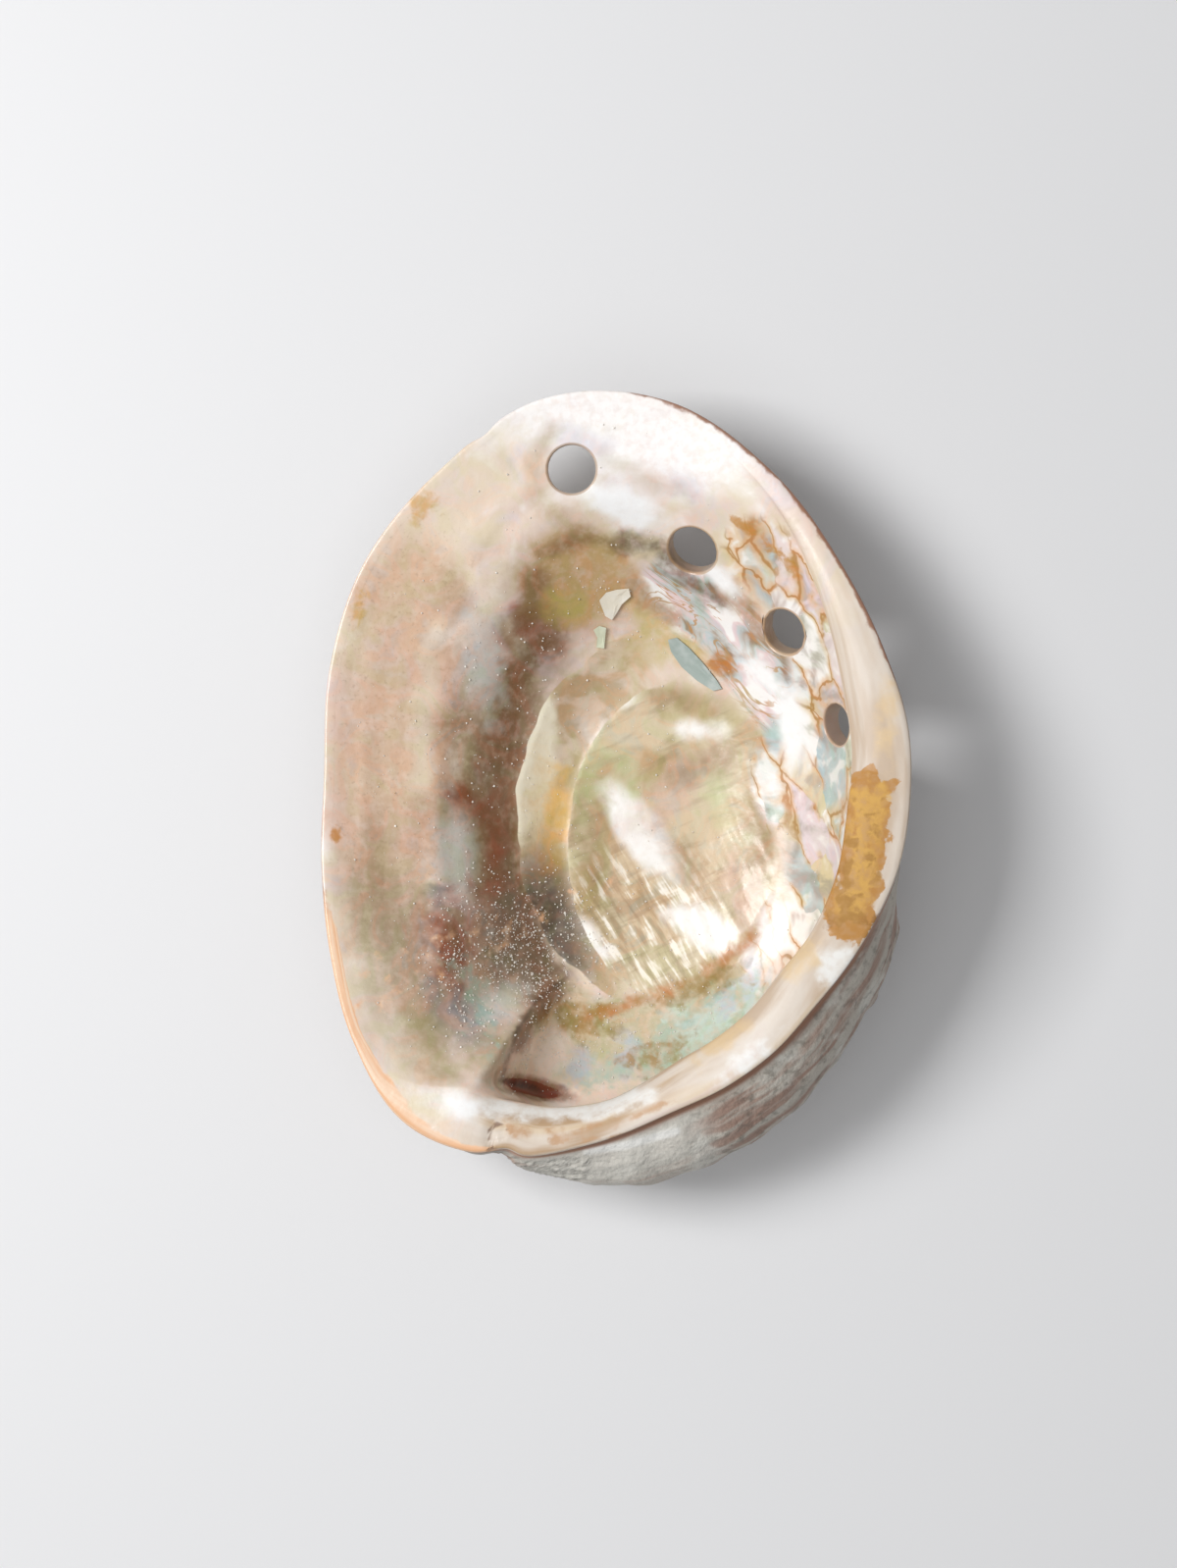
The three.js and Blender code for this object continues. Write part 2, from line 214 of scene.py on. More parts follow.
@dataclass
class ShellForm:
    """The shell's two surfaces about the vertical line through its deepest point.

    Sizes are in mm, and directions and stretches in degrees of turn, -180 to 180, from the inner lip.
    """

    deepest: tuple[float, float] = (9.4, -12.95)
    rim_radii: tuple[float, ...] = (
        40.2, 43.6, 48.3, 53.3, 60.8, 71.3, 81.4, 84.8, 80.2, 75.5, 68.9, 62.8,
        61.1, 61.6, 63.7, 64.9, 59.4, 50.8, 43.7, 40.0, 37.4, 35.5, 35.7, 37.3,
    )  # fmt: skip
    rim_notches: tuple[Bump, ...] = (Bump(240.5, 1.6, 2.6), Bump(113, 0.7, 1.6))
    rim_mean_height: float = 30.5
    rim_tilt_rise: float = 8.5
    rim_tilt_towards: float = -25
    lip_thickness: float = 2.2
    inner_lip: Stretch = Stretch((-132, -123), (35, 85))
    inner_lip_outside: Stretch = Stretch((-147, -132), (40, 100))
    shelf_width: float = 5.8
    shelf_part: Stretch = Stretch((-144, -130), (45, 95))
    shelf_broad_parts: tuple[Bump, ...] = (Bump(20, 3.1, 52), Bump(-127, 3.9, 26))
    shelf_slope_drop: float = 2.6
    shelf_roll: tuple[float, float] = (-108, -80)
    shelf_crown: float = 0.5
    shelf_edge_depth: float = 2.4
    shelf_overhang: float = 0.9
    lip_edge_drop: float = 0.3
    lip_edge_depth: float = 2.0
    floor_thickness: float = 3.7
    undercut_reach: float = 14
    undercut_power: float = 2.6
    undercut_part: Stretch = Stretch((-134, -108), (-75, 45))
    bulge_reach: float = 12.8
    bulge_part: Stretch = Stretch((-128, -88), (-88, 48))
    arched_part: Stretch = Stretch((-147, -124), (-25, 35))
    front_part: Stretch = Stretch((-165, -130), (75, 140))
    climb_start: float = 0.3
    climb_start_in_front: float = 0.14
    climb_length: float = 0.42
    climb_length_in_front: float = 0.08
    climb_weight: float = 0.7
    steep_power: float = 4.5
    steep_weight: float = 0.72
    side_power: float = 4
    side_weight: float = 0.34
    worn_depth: float = 0.4
    wall_part: float = 0.84
    scar_steps: tuple[ScarStep, ...] = (ScarStep(6.6, -5.5, 24.3, 33.5), ScarStep(11.3, -9.9, 19.5, 29, 0.38))
    scallop: float = 0.035
    scallop_length: float = 5.5

    def rim_height(self, angle: Array) -> Array:
        """Returns the height of the rim, which lies in a tilted plane."""
        return self.rim_mean_height + self.rim_tilt_rise * np.cos(np.radians(angle - self.rim_tilt_towards))

    def rolled(self, angle: Array) -> Array:
        """Returns 1 where the shelf rolls softly into the hollow, by the spire, and 0 where its edge is sharp."""
        return 1 - ramp(*self.shelf_roll, signed_turn(angle))

    def inner_radius(self, angle: Array) -> Array:
        """Returns the distance of the shelf's or lip's inner edge. The small notches don't reach it."""
        return round_turn(self.rim_radii, angle) - self.shelf(angle)

    def rim_radius(self, angle: Array) -> Array:
        """Returns the distance of the rim's outer edge: the smooth outline less its small notches."""
        radius = round_turn(self.rim_radii, angle)
        for notch in self.rim_notches:
            radius = radius - notch.amount * np.exp(-((signed_turn(angle - notch.angle) / notch.reach) ** 2))
        return radius

    def inside_lip(self, angle: Array) -> Array:
        """Returns 1 along the inner lip, with its shelf and steep wall, and 0 along the flared outer lip."""
        return self.inner_lip.share(signed_turn(angle))

    def outside_lip(self, angle: Array) -> Array:
        """Returns the same share for the outside, which changes earlier at the spire end."""
        return self.inner_lip_outside.share(signed_turn(angle))

    def shelf(self, angle: Array) -> Array:
        """Returns the width of the lip or shelf."""
        turn = signed_turn(angle)
        width = self.lip_thickness + self.shelf_width * self.shelf_part.share(turn)
        for part in self.shelf_broad_parts:
            width = width + part.amount * (1 - ramp(0, part.reach, np.abs(turn - part.angle)))
        return width

    def undercut(self, angle: Array) -> Array:
        """Returns how far the hollow reaches out under the shelf."""
        return self.undercut_reach * self.undercut_part.share(signed_turn(angle))

    def bulge(self, angle: Array) -> Array:
        """Returns how far the outside bulges past the rim."""
        return self.bulge_reach * self.bulge_part.share(signed_turn(angle))

    def flared_rise(self, angle: Array, share: Array) -> Array:
        """Returns the share of the rise to the outer lip: an S, later and longer in front, with some parabola."""
        front = self.front_part.share(signed_turn(angle))
        start = self.climb_start + self.climb_start_in_front * front
        length = self.climb_length + self.climb_length_in_front * front
        return mix(share**2, ramp(start, start + length, share), self.climb_weight)

    def edge_drop(self, lip: Array) -> Array:
        """Returns how far the inner edge lies below the rim, where lip is 1 along the shelf and 0 elsewhere."""
        return mix(self.lip_edge_drop, self.shelf_slope_drop, lip)

    def place(self, angle: Array, radius: Array, height: Array) -> Array:
        """Returns points from a direction, a distance and a height, lowered by the worn depth."""
        turn = np.radians(angle)
        return np.stack(
            (
                self.deepest[0] + radius * np.cos(turn),
                self.deepest[1] + radius * np.sin(turn),
                height - self.worn_depth,
            ),
            axis=-1,
        )

    def scar_depths(self, x: Array, y: Array) -> list[Array]:
        """Returns, for each step of the muscle pad, how far out a place is: 1 on the scalloped edge."""
        plan = np.stack((x, y), axis=-1)
        depths = []
        for number, step in enumerate(self.scar_steps):
            off = np.hypot((x - step.x) / step.half_width, (y - step.y) / step.half_length)
            depths.append(off + self.scallop * smooth_noise(plan, self.scallop_length, 11 + number, 3))
        return depths

    def wall(self, angle: Array, share: Array) -> Array:
        """Returns points of the hollow's wall, which reaches out under the shelf and comes back at its edge."""
        lip = self.inside_lip(angle)
        inner = self.inner_radius(angle)
        radius = share * (inner + self.shelf_overhang * lip)
        radius += self.undercut(angle) * np.sin(np.pi * share**self.undercut_power)
        top = self.rim_height(angle) - self.edge_drop(lip) - self.shelf_edge_depth * lip
        steep = mix(share**2, share**self.steep_power, self.steep_weight)
        rise = mix(self.flared_rise(angle, share), steep, lip)
        return self.place(angle, radius, mix(self.floor_thickness, top, rise))

    def over_rim(self, angle: Array, across: Array) -> Array:
        """Points of the section over the rim.

        Args:
            angle: directions, in degrees.
            across: 0 at the top of the hollow's wall, 1 at the outer edge.

        Returns:
            A smooth curve through seven places: the wall's top, the shelf's rounded inner edge, its crown and
            the rounded outer edge.
        """
        lip = self.inside_lip(angle)
        outer = self.rim_radius(angle)
        inner = self.inner_radius(angle)
        roll = lip * self.rolled(angle)
        outer_top = self.rim_height(angle)
        inner_top = outer_top - self.edge_drop(lip)

        def crossing(t: Array, drop: Array) -> tuple[Array, Array]:
            """Returns a place on the crowned top: a share t of the way across, lowered by drop."""
            crown = self.shelf_crown * lip * 4 * t * (1 - t)
            return mix(inner, outer, t), mix(inner_top, outer_top, t**0.8) + crown - drop

        knots = [
            # The wall's top, under the shelf's edge.
            (inner + self.shelf_overhang * lip, inner_top - self.shelf_edge_depth * lip),
            # The inner edge, which overhangs the hollow a little, or rolls back from it.
            (
                inner - 0.3 * lip + 0.07 * (outer - inner) * (1 - lip) + roll * (0.3 + 0.1 * (outer - inner)),
                inner_top - 0.75 * lip + 0.03 * (1 - lip) - 0.4 * roll,
            ),
            # The top: near its inner edge, in its middle, and near its outer edge.
            crossing(mix(mix(0.14, 0.035, lip), 0.28, roll), 0.02 * lip + 0.5 * roll),
            crossing(mix(mix(0.5, 0.3, lip), 0.5, roll), 0.1 * roll),
            crossing(mix(0.86, 0.9, lip), 0.1),
            # The rounded outer edge, down to where the outside begins.
            (outer - 0.1, outer_top - 0.35 * self.lip_edge_depth),
            (outer, outer_top - self.lip_edge_depth),
        ]
        table = np.array([[np.broadcast_to(value, lip.shape) for value in knot] for knot in knots])
        last = len(knots) - 1
        spot = np.clip(across, 0, 1) * last
        i = np.minimum(np.floor(spot).astype(int), last - 1)
        t = spot - i
        flat = np.arange(lip.size).reshape(lip.shape)
        rows = table.reshape(len(knots), 2, -1)
        curve = curve_through(*(rows[np.clip(i + k, 0, last), :, flat] for k in (-1, 0, 1, 2)), t[..., None])
        return self.place(angle, curve[..., 0], curve[..., 1])

    def hollow(self, angle: Array, part: Array) -> Array:
        """Returns points of the upper side: the wall up to wall_part, and then the section over the rim."""
        wall = self.wall(angle, np.minimum(part / self.wall_part, 1))
        rim = self.over_rim(angle, (part - self.wall_part) / (1 - self.wall_part))
        return np.where((part <= self.wall_part)[..., None], wall, rim)

    def outside(self, angle: Array, share: Array) -> Array:
        """Returns points of the outside before its relief: flared, steep, or an arc that bulges past the rim."""
        lip = self.outside_lip(angle)
        arched = lip * self.arched_part.share(signed_turn(angle))
        edge = self.rim_radius(angle)
        full = edge + self.bulge(angle)
        arc_end = np.pi - np.arcsin(np.minimum(1, edge / full))
        arc = share * arc_end
        side = mix(share**2, share**self.side_power, self.side_weight)
        plain = mix(self.flared_rise(angle, share), side, lip)
        rise = mix(plain, (1 - np.cos(arc)) / (1 - np.cos(arc_end)), arched)
        radius = mix(share * edge, np.sin(arc) * full, arched)
        return self.place(angle, radius, (self.rim_height(angle) - self.lip_edge_depth) * rise)


def surface_normals(surface: Surface, angle: Array, part: Array, facing: float) -> Array:
    """Normals of a surface, from its neighbours.

    Args:
        surface: a function of angle and part that gives points.
        angle: directions, in degrees.
        part: shares of the way out.
        facing: 1 for a surface that faces up and in, -1 for one that faces down and out.

    Returns:
        Unit normals.
    """
    step, swing = 0.006, 0.4
    at = np.clip(part, 2 * step, 1 - step)
    out = surface(angle, at + step) - surface(angle, at - step)
    along = surface(angle + swing, at) - surface(angle - swing, at)
    normal = np.cross(out, along) * facing
    return normal / np.maximum(np.linalg.norm(normal, axis=-1, keepdims=True), 1e-9)


@dataclass
class Growth:
    """The spiral in which the shell grew, and the relief that it left on the outside. Sizes are in mm."""

    form: ShellForm
    spire_angle: float = 249
    spire_share: float = 0.33
    spire_point: float = 0.05
    widening: float = 0.45
    lip_span: tuple[float, float] = (75, 239)
    lip_places: int = 60
    age_step: float = 4
    age_steps: int = 100
    seam_start_angle: float = 226
    seam_start_radius: float = 24
    seam_spread: float = 0.16
    seam_least_spread: float = 0.4
    seam_full_radius: float = 7
    seam_depth: float = 1.5
    folds_per_radian: float = 22
    fold_rise: float = 0.35
    healed_count: int = 8
    healed_first: BreathingHole = BreathingHole(17, 0.8, 3.6)
    healed_last: BreathingHole = BreathingHole(-100, 0.5, 1.8)
    healed_rise: float = 1.3
    tip: Array = field(init=False)
    lip_table: Array = field(init=False)

    def __post_init__(self) -> None:
        """Finds the spire's tip, and the present lip's distance from it in each direction."""
        self.tip = self.form.outside(np.array(self.spire_angle), np.array(self.spire_share))
        angles = np.linspace(*self.lip_span, self.lip_places)
        lip = self.form.outside(angles, np.ones(self.lip_places))
        self.lip_table = np.stack(self.about_spire(lip))

    def about_spire(self, points: Array) -> tuple[Array, Array]:
        """Returns the direction in the plan and the straight distance of points from the spire's tip."""
        off = points - self.tip
        angle = np.degrees(np.arctan2(off[..., 1], off[..., 0]))
        angle = np.where(angle <= self.seam_start_angle - 360, angle + 360, angle)
        return angle, np.maximum(np.linalg.norm(off, axis=-1), self.spire_point)

    def age(self, angle: Array, radius: Array) -> Array:
        """How long ago the lip stood at each place.

        Args:
            angle: direction from the spire's tip, in degrees.
            radius: distance from it.

        Returns:
            The age in radians of turn. Each older lip is the present one, turned back about the spire and
            shrunk in proportion, and the first that comes inside the place gives its age.
        """
        start = np.maximum(0, self.lip_table[0, 0] - angle)

        def gap_at(back: Array) -> Array:
            """Returns how far outside the lip of so many degrees ago the place is, as a logarithm."""
            lip = np.interp(angle + back, self.lip_table[0], self.lip_table[1])
            return np.log(radius / lip) + self.widening * np.radians(back)

        before = gap_at(start)
        age = np.full(angle.shape, 2 * np.pi)
        found = np.zeros(angle.shape, bool)
        for count in range(1, self.age_steps + 1):
            back = start + self.age_step * count
            gap = gap_at(back)
            hit = (gap >= 0) & ~found
            exact = np.radians(back - self.age_step * gap / np.maximum(gap - before, 1e-6))
            age = np.where(hit, exact, age)
            found |= hit
            before = gap
        return age

    def seam(self, angle: Array, radius: Array) -> Array:
        """Returns 1 in the groove between the whorls and 0 away from it."""
        seam = self.seam_start_radius * np.exp(self.widening * np.radians(angle - self.seam_start_angle))
        across = (radius - seam) / (self.seam_spread * seam + self.seam_least_spread)
        return np.minimum(1, seam / self.seam_full_radius) * np.exp(-(across**2))

    def healed(self) -> list[tuple[Array, float]]:
        """Returns the middle and radius of each breathing hole that has healed over."""
        spots = []
        for t in np.linspace(0, 1, self.healed_count):
            angle, share, radius = (
                mix(getattr(self.healed_first, name), getattr(self.healed_last, name), t)
                for name in ("angle", "share", "radius")
            )
            spots.append((self.form.outside(np.array(angle), np.array(share)), float(radius)))
        return spots


@dataclass
class HoleSeat:
    """Where a breathing hole goes through the wall: its middle on each side, in mm, and its axis."""

    hole: BreathingHole
    inner_part: float
    outer_angle: float
    outer_share: float
    middle: Array
    axis: Array

    def from_axis(self, points: Array) -> Array:
        """Returns the distance of points from the line through the hole's middle."""
        off = points - self.middle
        along = np.sum(off * self.axis, axis=-1, keepdims=True)
        return np.linalg.norm(off - along * self.axis, axis=-1)


SEATING_STEPS = 12


def seat_hole(form: ShellForm, hole: BreathingHole) -> HoleSeat:
    """Finds where a hole goes through.

    Args:
        form: the shell's surfaces.
        hole: the hole.

    Returns:
        Its seat. The axis is halfway between the wall's normal and upright, and the place outside is found
        by stepping along the outside until it meets the axis.
    """
    angle, part = np.array(float(hole.angle)), np.array(hole.share * form.wall_part)
    middle = form.hollow(angle, part)
    axis = surface_normals(form.hollow, angle, part, 1.0) + np.array([0, 0, 1.0])
    axis /= np.linalg.norm(axis)
    inner = form.inner_radius(angle)
    spot = np.array([hole.angle, float(hole.share * inner / form.rim_radius(angle))])
    across = np.cross(axis, [0, 0, 1.0]) if abs(axis[2]) < 0.999 else np.array([1.0, 0, 0])
    across /= np.linalg.norm(across)
    up = np.cross(axis, across)

    def miss(at: Array) -> Array:
        """Returns how far, in two directions, a place outside is from the axis."""
        off = form.outside(np.array(at[0]), np.array(at[1])) - middle
        return np.array([off @ across, off @ up])

    moves = (np.array([0.5, 0]), np.array([0, 0.005]))
    for _ in range(SEATING_STEPS):
        here = miss(spot)
        slopes = np.stack([(miss(spot + move) - here) / move.sum() for move in moves])
        spot = spot - np.linalg.solve(slopes.T, here)
    return HoleSeat(hole, float(part), float(spot[0]), float(spot[1]), middle, axis)


# ---------------------------------------------------------------- places in the photograph


@dataclass(frozen=True)
class Sight:
    """Where the points of the shell are seen in the photograph, in its pixels."""

    middle_x: float = 600
    middle_y: float = 799
    camera_x: float = -4.3
    camera_y: float = 0.9
    camera_height: float = 677
    focal_length: float = 3774.5

    def pixels(self, points: Array) -> tuple[Array, Array]:
        """Returns the column and row at which points, in mm, are seen: offset times focal length over depth."""
        scale = self.focal_length / (self.camera_height - points[..., 2])
        return (
            self.middle_x + (points[..., 0] - self.camera_x) * scale,
            self.middle_y - (points[..., 1] - self.camera_y) * scale,
        )


# What a pixel of the photograph measures on the shell, halfway up.
MM_PER_PIXEL = 0.175


@dataclass(frozen=True)
class Oval:
    """An oval mark. The middle and half sizes are in the photograph's pixels, and it's turned clockwise."""

    x: float
    y: float
    half_x: float
    half_y: float
    turned: float = 0

    def depth(self, column: Array, row: Array) -> Array:
        """Returns how far inside the oval's edge places are, in mm, and less than 0 outside."""
        turn = math.radians(self.turned)
        dx, dy = column - self.x, row - self.y
        u = (dx * math.cos(turn) + dy * math.sin(turn)) / self.half_x
        v = (dy * math.cos(turn) - dx * math.sin(turn)) / self.half_y
        return (1 - np.hypot(u, v)) * min(self.half_x, self.half_y) * MM_PER_PIXEL


@dataclass(frozen=True)
class Trail:
    """A mark along a line of points in the photograph, with a half width in its pixels."""

    points: tuple[tuple[float, float], ...]
    half_width: float

    def depth(self, column: Array, row: Array) -> Array:
        """Returns how far inside the trail's edge places are, in mm: its half width less the way to its line."""
        nearest = np.full(column.shape, np.inf)
        for (ax, ay), (bx, by) in zip(self.points[:-1], self.points[1:]):
            dx, dy = bx - ax, by - ay
            t = np.clip(((column - ax) * dx + (row - ay) * dy) / (dx * dx + dy * dy), 0, 1)
            nearest = np.minimum(nearest, np.hypot(column - ax - t * dx, row - ay - t * dy))
        return (self.half_width - nearest) * MM_PER_PIXEL


Mark = Oval | Trail


def deepest(marks: tuple[Mark, ...], column: Array, row: Array) -> Array:
    """Returns the greatest depth of places inside any of the marks."""
    return np.max([mark.depth(column, row) for mark in marks], axis=0)


# ---------------------------------------------------------------- relief


class Side(Enum):
    """Which surface of the shell a vertex is on."""

    HOLLOW = 0
    OUTSIDE = 1
    BORE = 2


@dataclass
class Relief:
    """What stands out from the plain form by less than a few millimetres. Heights and depths are in mm."""

    form: ShellForm
    growth: Growth
    seats: list[HoleSeat]
    hole_rim_rise: float = 1.5
    hole_rim_spread: float = 2.4
    hole_rim_off: float = 0.6
    hole_reach: float = 20
    step_edge: tuple[float, float] = (0.975, 1.015)
    step_fade: tuple[float, float] = (0.9, 1.25)
    step_sunk: float = 0.9
    ripple_slant: float = 0.42
    ripple_size: tuple[float, float] = (1.5, 6.5)
    ripple_rise: float = 0.11
    swell_rise: float = 0.25
    flare_wave_rise: float = 0.22
    wall_wave_rise: float = 0.25
    shelf_ridge_rise: float = 0.12
    young_part: tuple[float, float] = (4, 14)
    fold_line_rise: float = 0.20
    cord_rise: float = 0.35
    lump_rise: float = 0.25
    sight: Sight = Sight()
    spire_slit: Oval = Oval(543, 1108, 33, 9, 13)
    slit_depth: float = 2.2
    slit_direction: tuple[float, float, float] = (-0.35, -0.45, -0.8)
    spire_crease: Trail = Trail(((514, 1149), (506, 1145), (498, 1152), (499, 1166), (505, 1180)), 3)
    spire_crease_depth: float = 0.7
    fold_line: Trail = Trail(((575, 1000), (545, 1022), (527, 1050), (515, 1085), (513, 1103)), 6)
    fold_depth: float = 0.45
    lip_crease: Trail = Trail(((486, 440), (500, 455), (512, 460), (527, 472)), 4)
    crease_depth: float = 0.35

    def hollow(self, angle: Array, part: Array) -> Array:
        """Points of the finished upper side.

        Args:
            angle: directions, in degrees.
            part: shares of the way out, over the rim.

        Returns:
            The plain form, moved along its normal by the muscle pad's steps, the ripples that the muscle left,
            soft waves along the flare, and long faint ridges on the shelf.
        """
        plain = self.form.hollow(angle, part)
        normal = surface_normals(self.form.hollow, angle, part, 1.0)
        on_wall = 1 - ramp(0.96, 1.0, part / self.form.wall_part)
        lip = self.form.inside_lip(angle)
        lift = self.pad(plain)
        # The waves and ridges are noise over the way out and the direction, so they are drawn out along the rim.
        waves = smooth_noise(np.stack((part * 26, angle / 55), axis=-1), 1.0, 8, 2)
        lift += (1 - lip) * ramp(0.35, 0.6, part) * self.flare_wave_rise * waves * ramp(1.0, 0.86, part)
        lift += lip * ramp(0.45, 0.6, part) * self.wall_wave_rise * smooth_noise(plain, 6.0, 9, 3)
        column, row = self.sight.pixels(plain)
        lift -= self.fold_depth * ramp(-0.8, 0.9, self.fold_line.depth(column, row))
        lift -= self.crease_depth * ramp(-0.5, 0.6, self.lip_crease.depth(column, row))
        slit = ramp(-1.2, 1.3, self.spire_slit.depth(column, row)) * on_wall
        shelf = ramp(0.88, 0.92, part) * (1 - ramp(0.95, 0.99, part)) * lip
        ridges = shelf * self.shelf_ridge_rise * smooth_noise(np.stack((part * 60, angle / 40), axis=-1), 1.0, 10, 2)
        creased = ramp(-0.4, 0.4, self.spire_crease.depth(column, row)) * ramp(0.7, 0.84, part)
        sunk = np.array(self.slit_direction) * (self.slit_depth * slit)[..., None]
        return plain + sunk + normal * (lift * on_wall + ridges - self.spire_crease_depth * creased)[..., None]

    def pad(self, plain: Array) -> Array:
        """The muscle pad's height above the plain floor.

        Args:
            plain: points of the plain hollow.

        Returns:
            The sum of its steps, which sink away towards the wall at the upper right, slanting ripples on the
            innermost one, and a slow swell.
        """
        x, y = plain[..., 0], plain[..., 1]
        depths = self.form.scar_depths(x, y)
        lift = np.zeros(x.shape)
        for step, depth in zip(self.form.scar_steps, depths):
            towards_wall = 0.8 * (x - step.x) / step.half_width + 0.6 * (y - step.y) / step.half_length
            past_edge = ramp(*self.step_edge, depth)
            sunk = self.step_sunk * ramp(-0.1, 0.6, towards_wall)
            lift += step.rise * (1 - past_edge + sunk * (past_edge - ramp(*self.step_fade, depth)))
        inmost = 1 - ramp(0.8, 1.0, depths[-1])
        across = (x + self.ripple_slant * y) / self.ripple_size[0]
        along = (y - self.ripple_slant * x) / self.ripple_size[1]
        lift += inmost * self.ripple_rise * smooth_noise(np.stack((across, along), axis=-1), 1.0, 5, 2)
        return lift + inmost * self.swell_rise * smooth_noise(plain[..., :2], 9.0, 6, 2)

    def outside(self, angle: Array, share: Array) -> Array:
        """Points of the finished outside.

        Args:
            angle: directions, in degrees.
            share: shares of the way out to the rim's outer edge.

        Returns:
            The plain form, moved along its normal by the groove between the whorls, the raised rims of the open
            holes, the bumps of the healed ones, and growth folds with finer lines on them. Its lowest part is
            worn flat.
        """
        plain = self.form.outside(angle, share)
        normal = surface_normals(self.form.outside, angle, share, -1.0)
        about, radius = self.growth.about_spire(plain)
        age = self.growth.age(about, radius)
        rise = -self.growth.seam_depth * self.growth.seam(about, radius)
        for seat in self.seats:
            ring = (seat.from_axis(plain) - seat.hole.radius - self.hole_rim_off) / self.hole_rim_spread
            near = np.linalg.norm(plain - seat.middle, axis=-1) < self.hole_reach
            rise += np.where(near, self.hole_rim_rise * np.exp(-(ring**2)), 0)
        for middle, size in self.growth.healed():
            off = np.linalg.norm(plain - middle, axis=-1) / size
            rise += self.growth.healed_rise * (size / self.growth.healed_first.radius) * np.exp(-(off**2))
        grown = ramp(*self.young_part, radius)
        rise += 0.5 * self.growth.fold_rise * np.sin(self.growth.folds_per_radian * age)
        track = np.stack((age * 14, (about + np.degrees(age)) / 40), axis=-1)
        rise += grown * self.fold_line_rise * smooth_noise(track, 1.0, 21, 4)
        rise += self.cord_rise * smooth_noise(wound(share * 20, angle, 3), 1.0, 23, 4)
        rise += grown * self.lump_rise * smooth_noise(plain, 3.5, 22, 4)
        fade = 1 - ramp(0.93, 1.0, share)
        points = plain + normal * (rise * fade)[..., None]
        points[..., 2] = np.maximum(points[..., 2], 0.0)
        return points


# ---------------------------------------------------------------- the mesh


def placed(name: str, data: bpy.types.ID) -> bpy.types.Object:
    """Returns a new object in the scene for a mesh, light or camera."""
    made = bpy.data.objects.new(name, data)
    bpy.context.scene.collection.objects.link(made)
    return made


def piece_of(name: str, points: Array, faces: list, material: bpy.types.Material) -> bpy.types.Object:
    """Returns a new object from points in mm and the numbers of each face's corners, in one material."""
    mesh = bpy.data.meshes.new(name)
    mesh.from_pydata((points * MM).tolist(), [], faces)
    mesh.materials.append(material)
    return placed(name, mesh)


def concentric(a: Array, b: Array) -> tuple[Array, Array]:
    """Carries a square onto a disc ring by ring.

    Args:
        a: places across the square, -1 to 1.
        b: places up the square, -1 to 1.

    Returns:
        Direction in degrees and share of the way out: a square ring becomes a round one, evenly divided.
    """
    wide = np.abs(a) > np.abs(b)
    safe_a = np.where(wide, a, 1.0)
    safe_b = np.where(~wide & (b != 0), b, 1.0)
    angle = np.where(
        wide,
        45 * b / safe_a + np.where(a < 0, 180, 0),
        90 - 45 * a / safe_b + np.where(b < 0, 180, 0),
    )
    return angle % 360, np.maximum(np.abs(a), np.abs(b))


def square_ring(i: int, j: int, half: int) -> tuple[Array, Array]:
    """Returns the grid places on the border of a square patch, once round, anticlockwise."""
    run = np.arange(-half, half)
    full = np.full(2 * half, half)
    across = np.concatenate((run, full, -run, -full))
    up = np.concatenate((-full, run, full, -run))
    return i + across, j + up


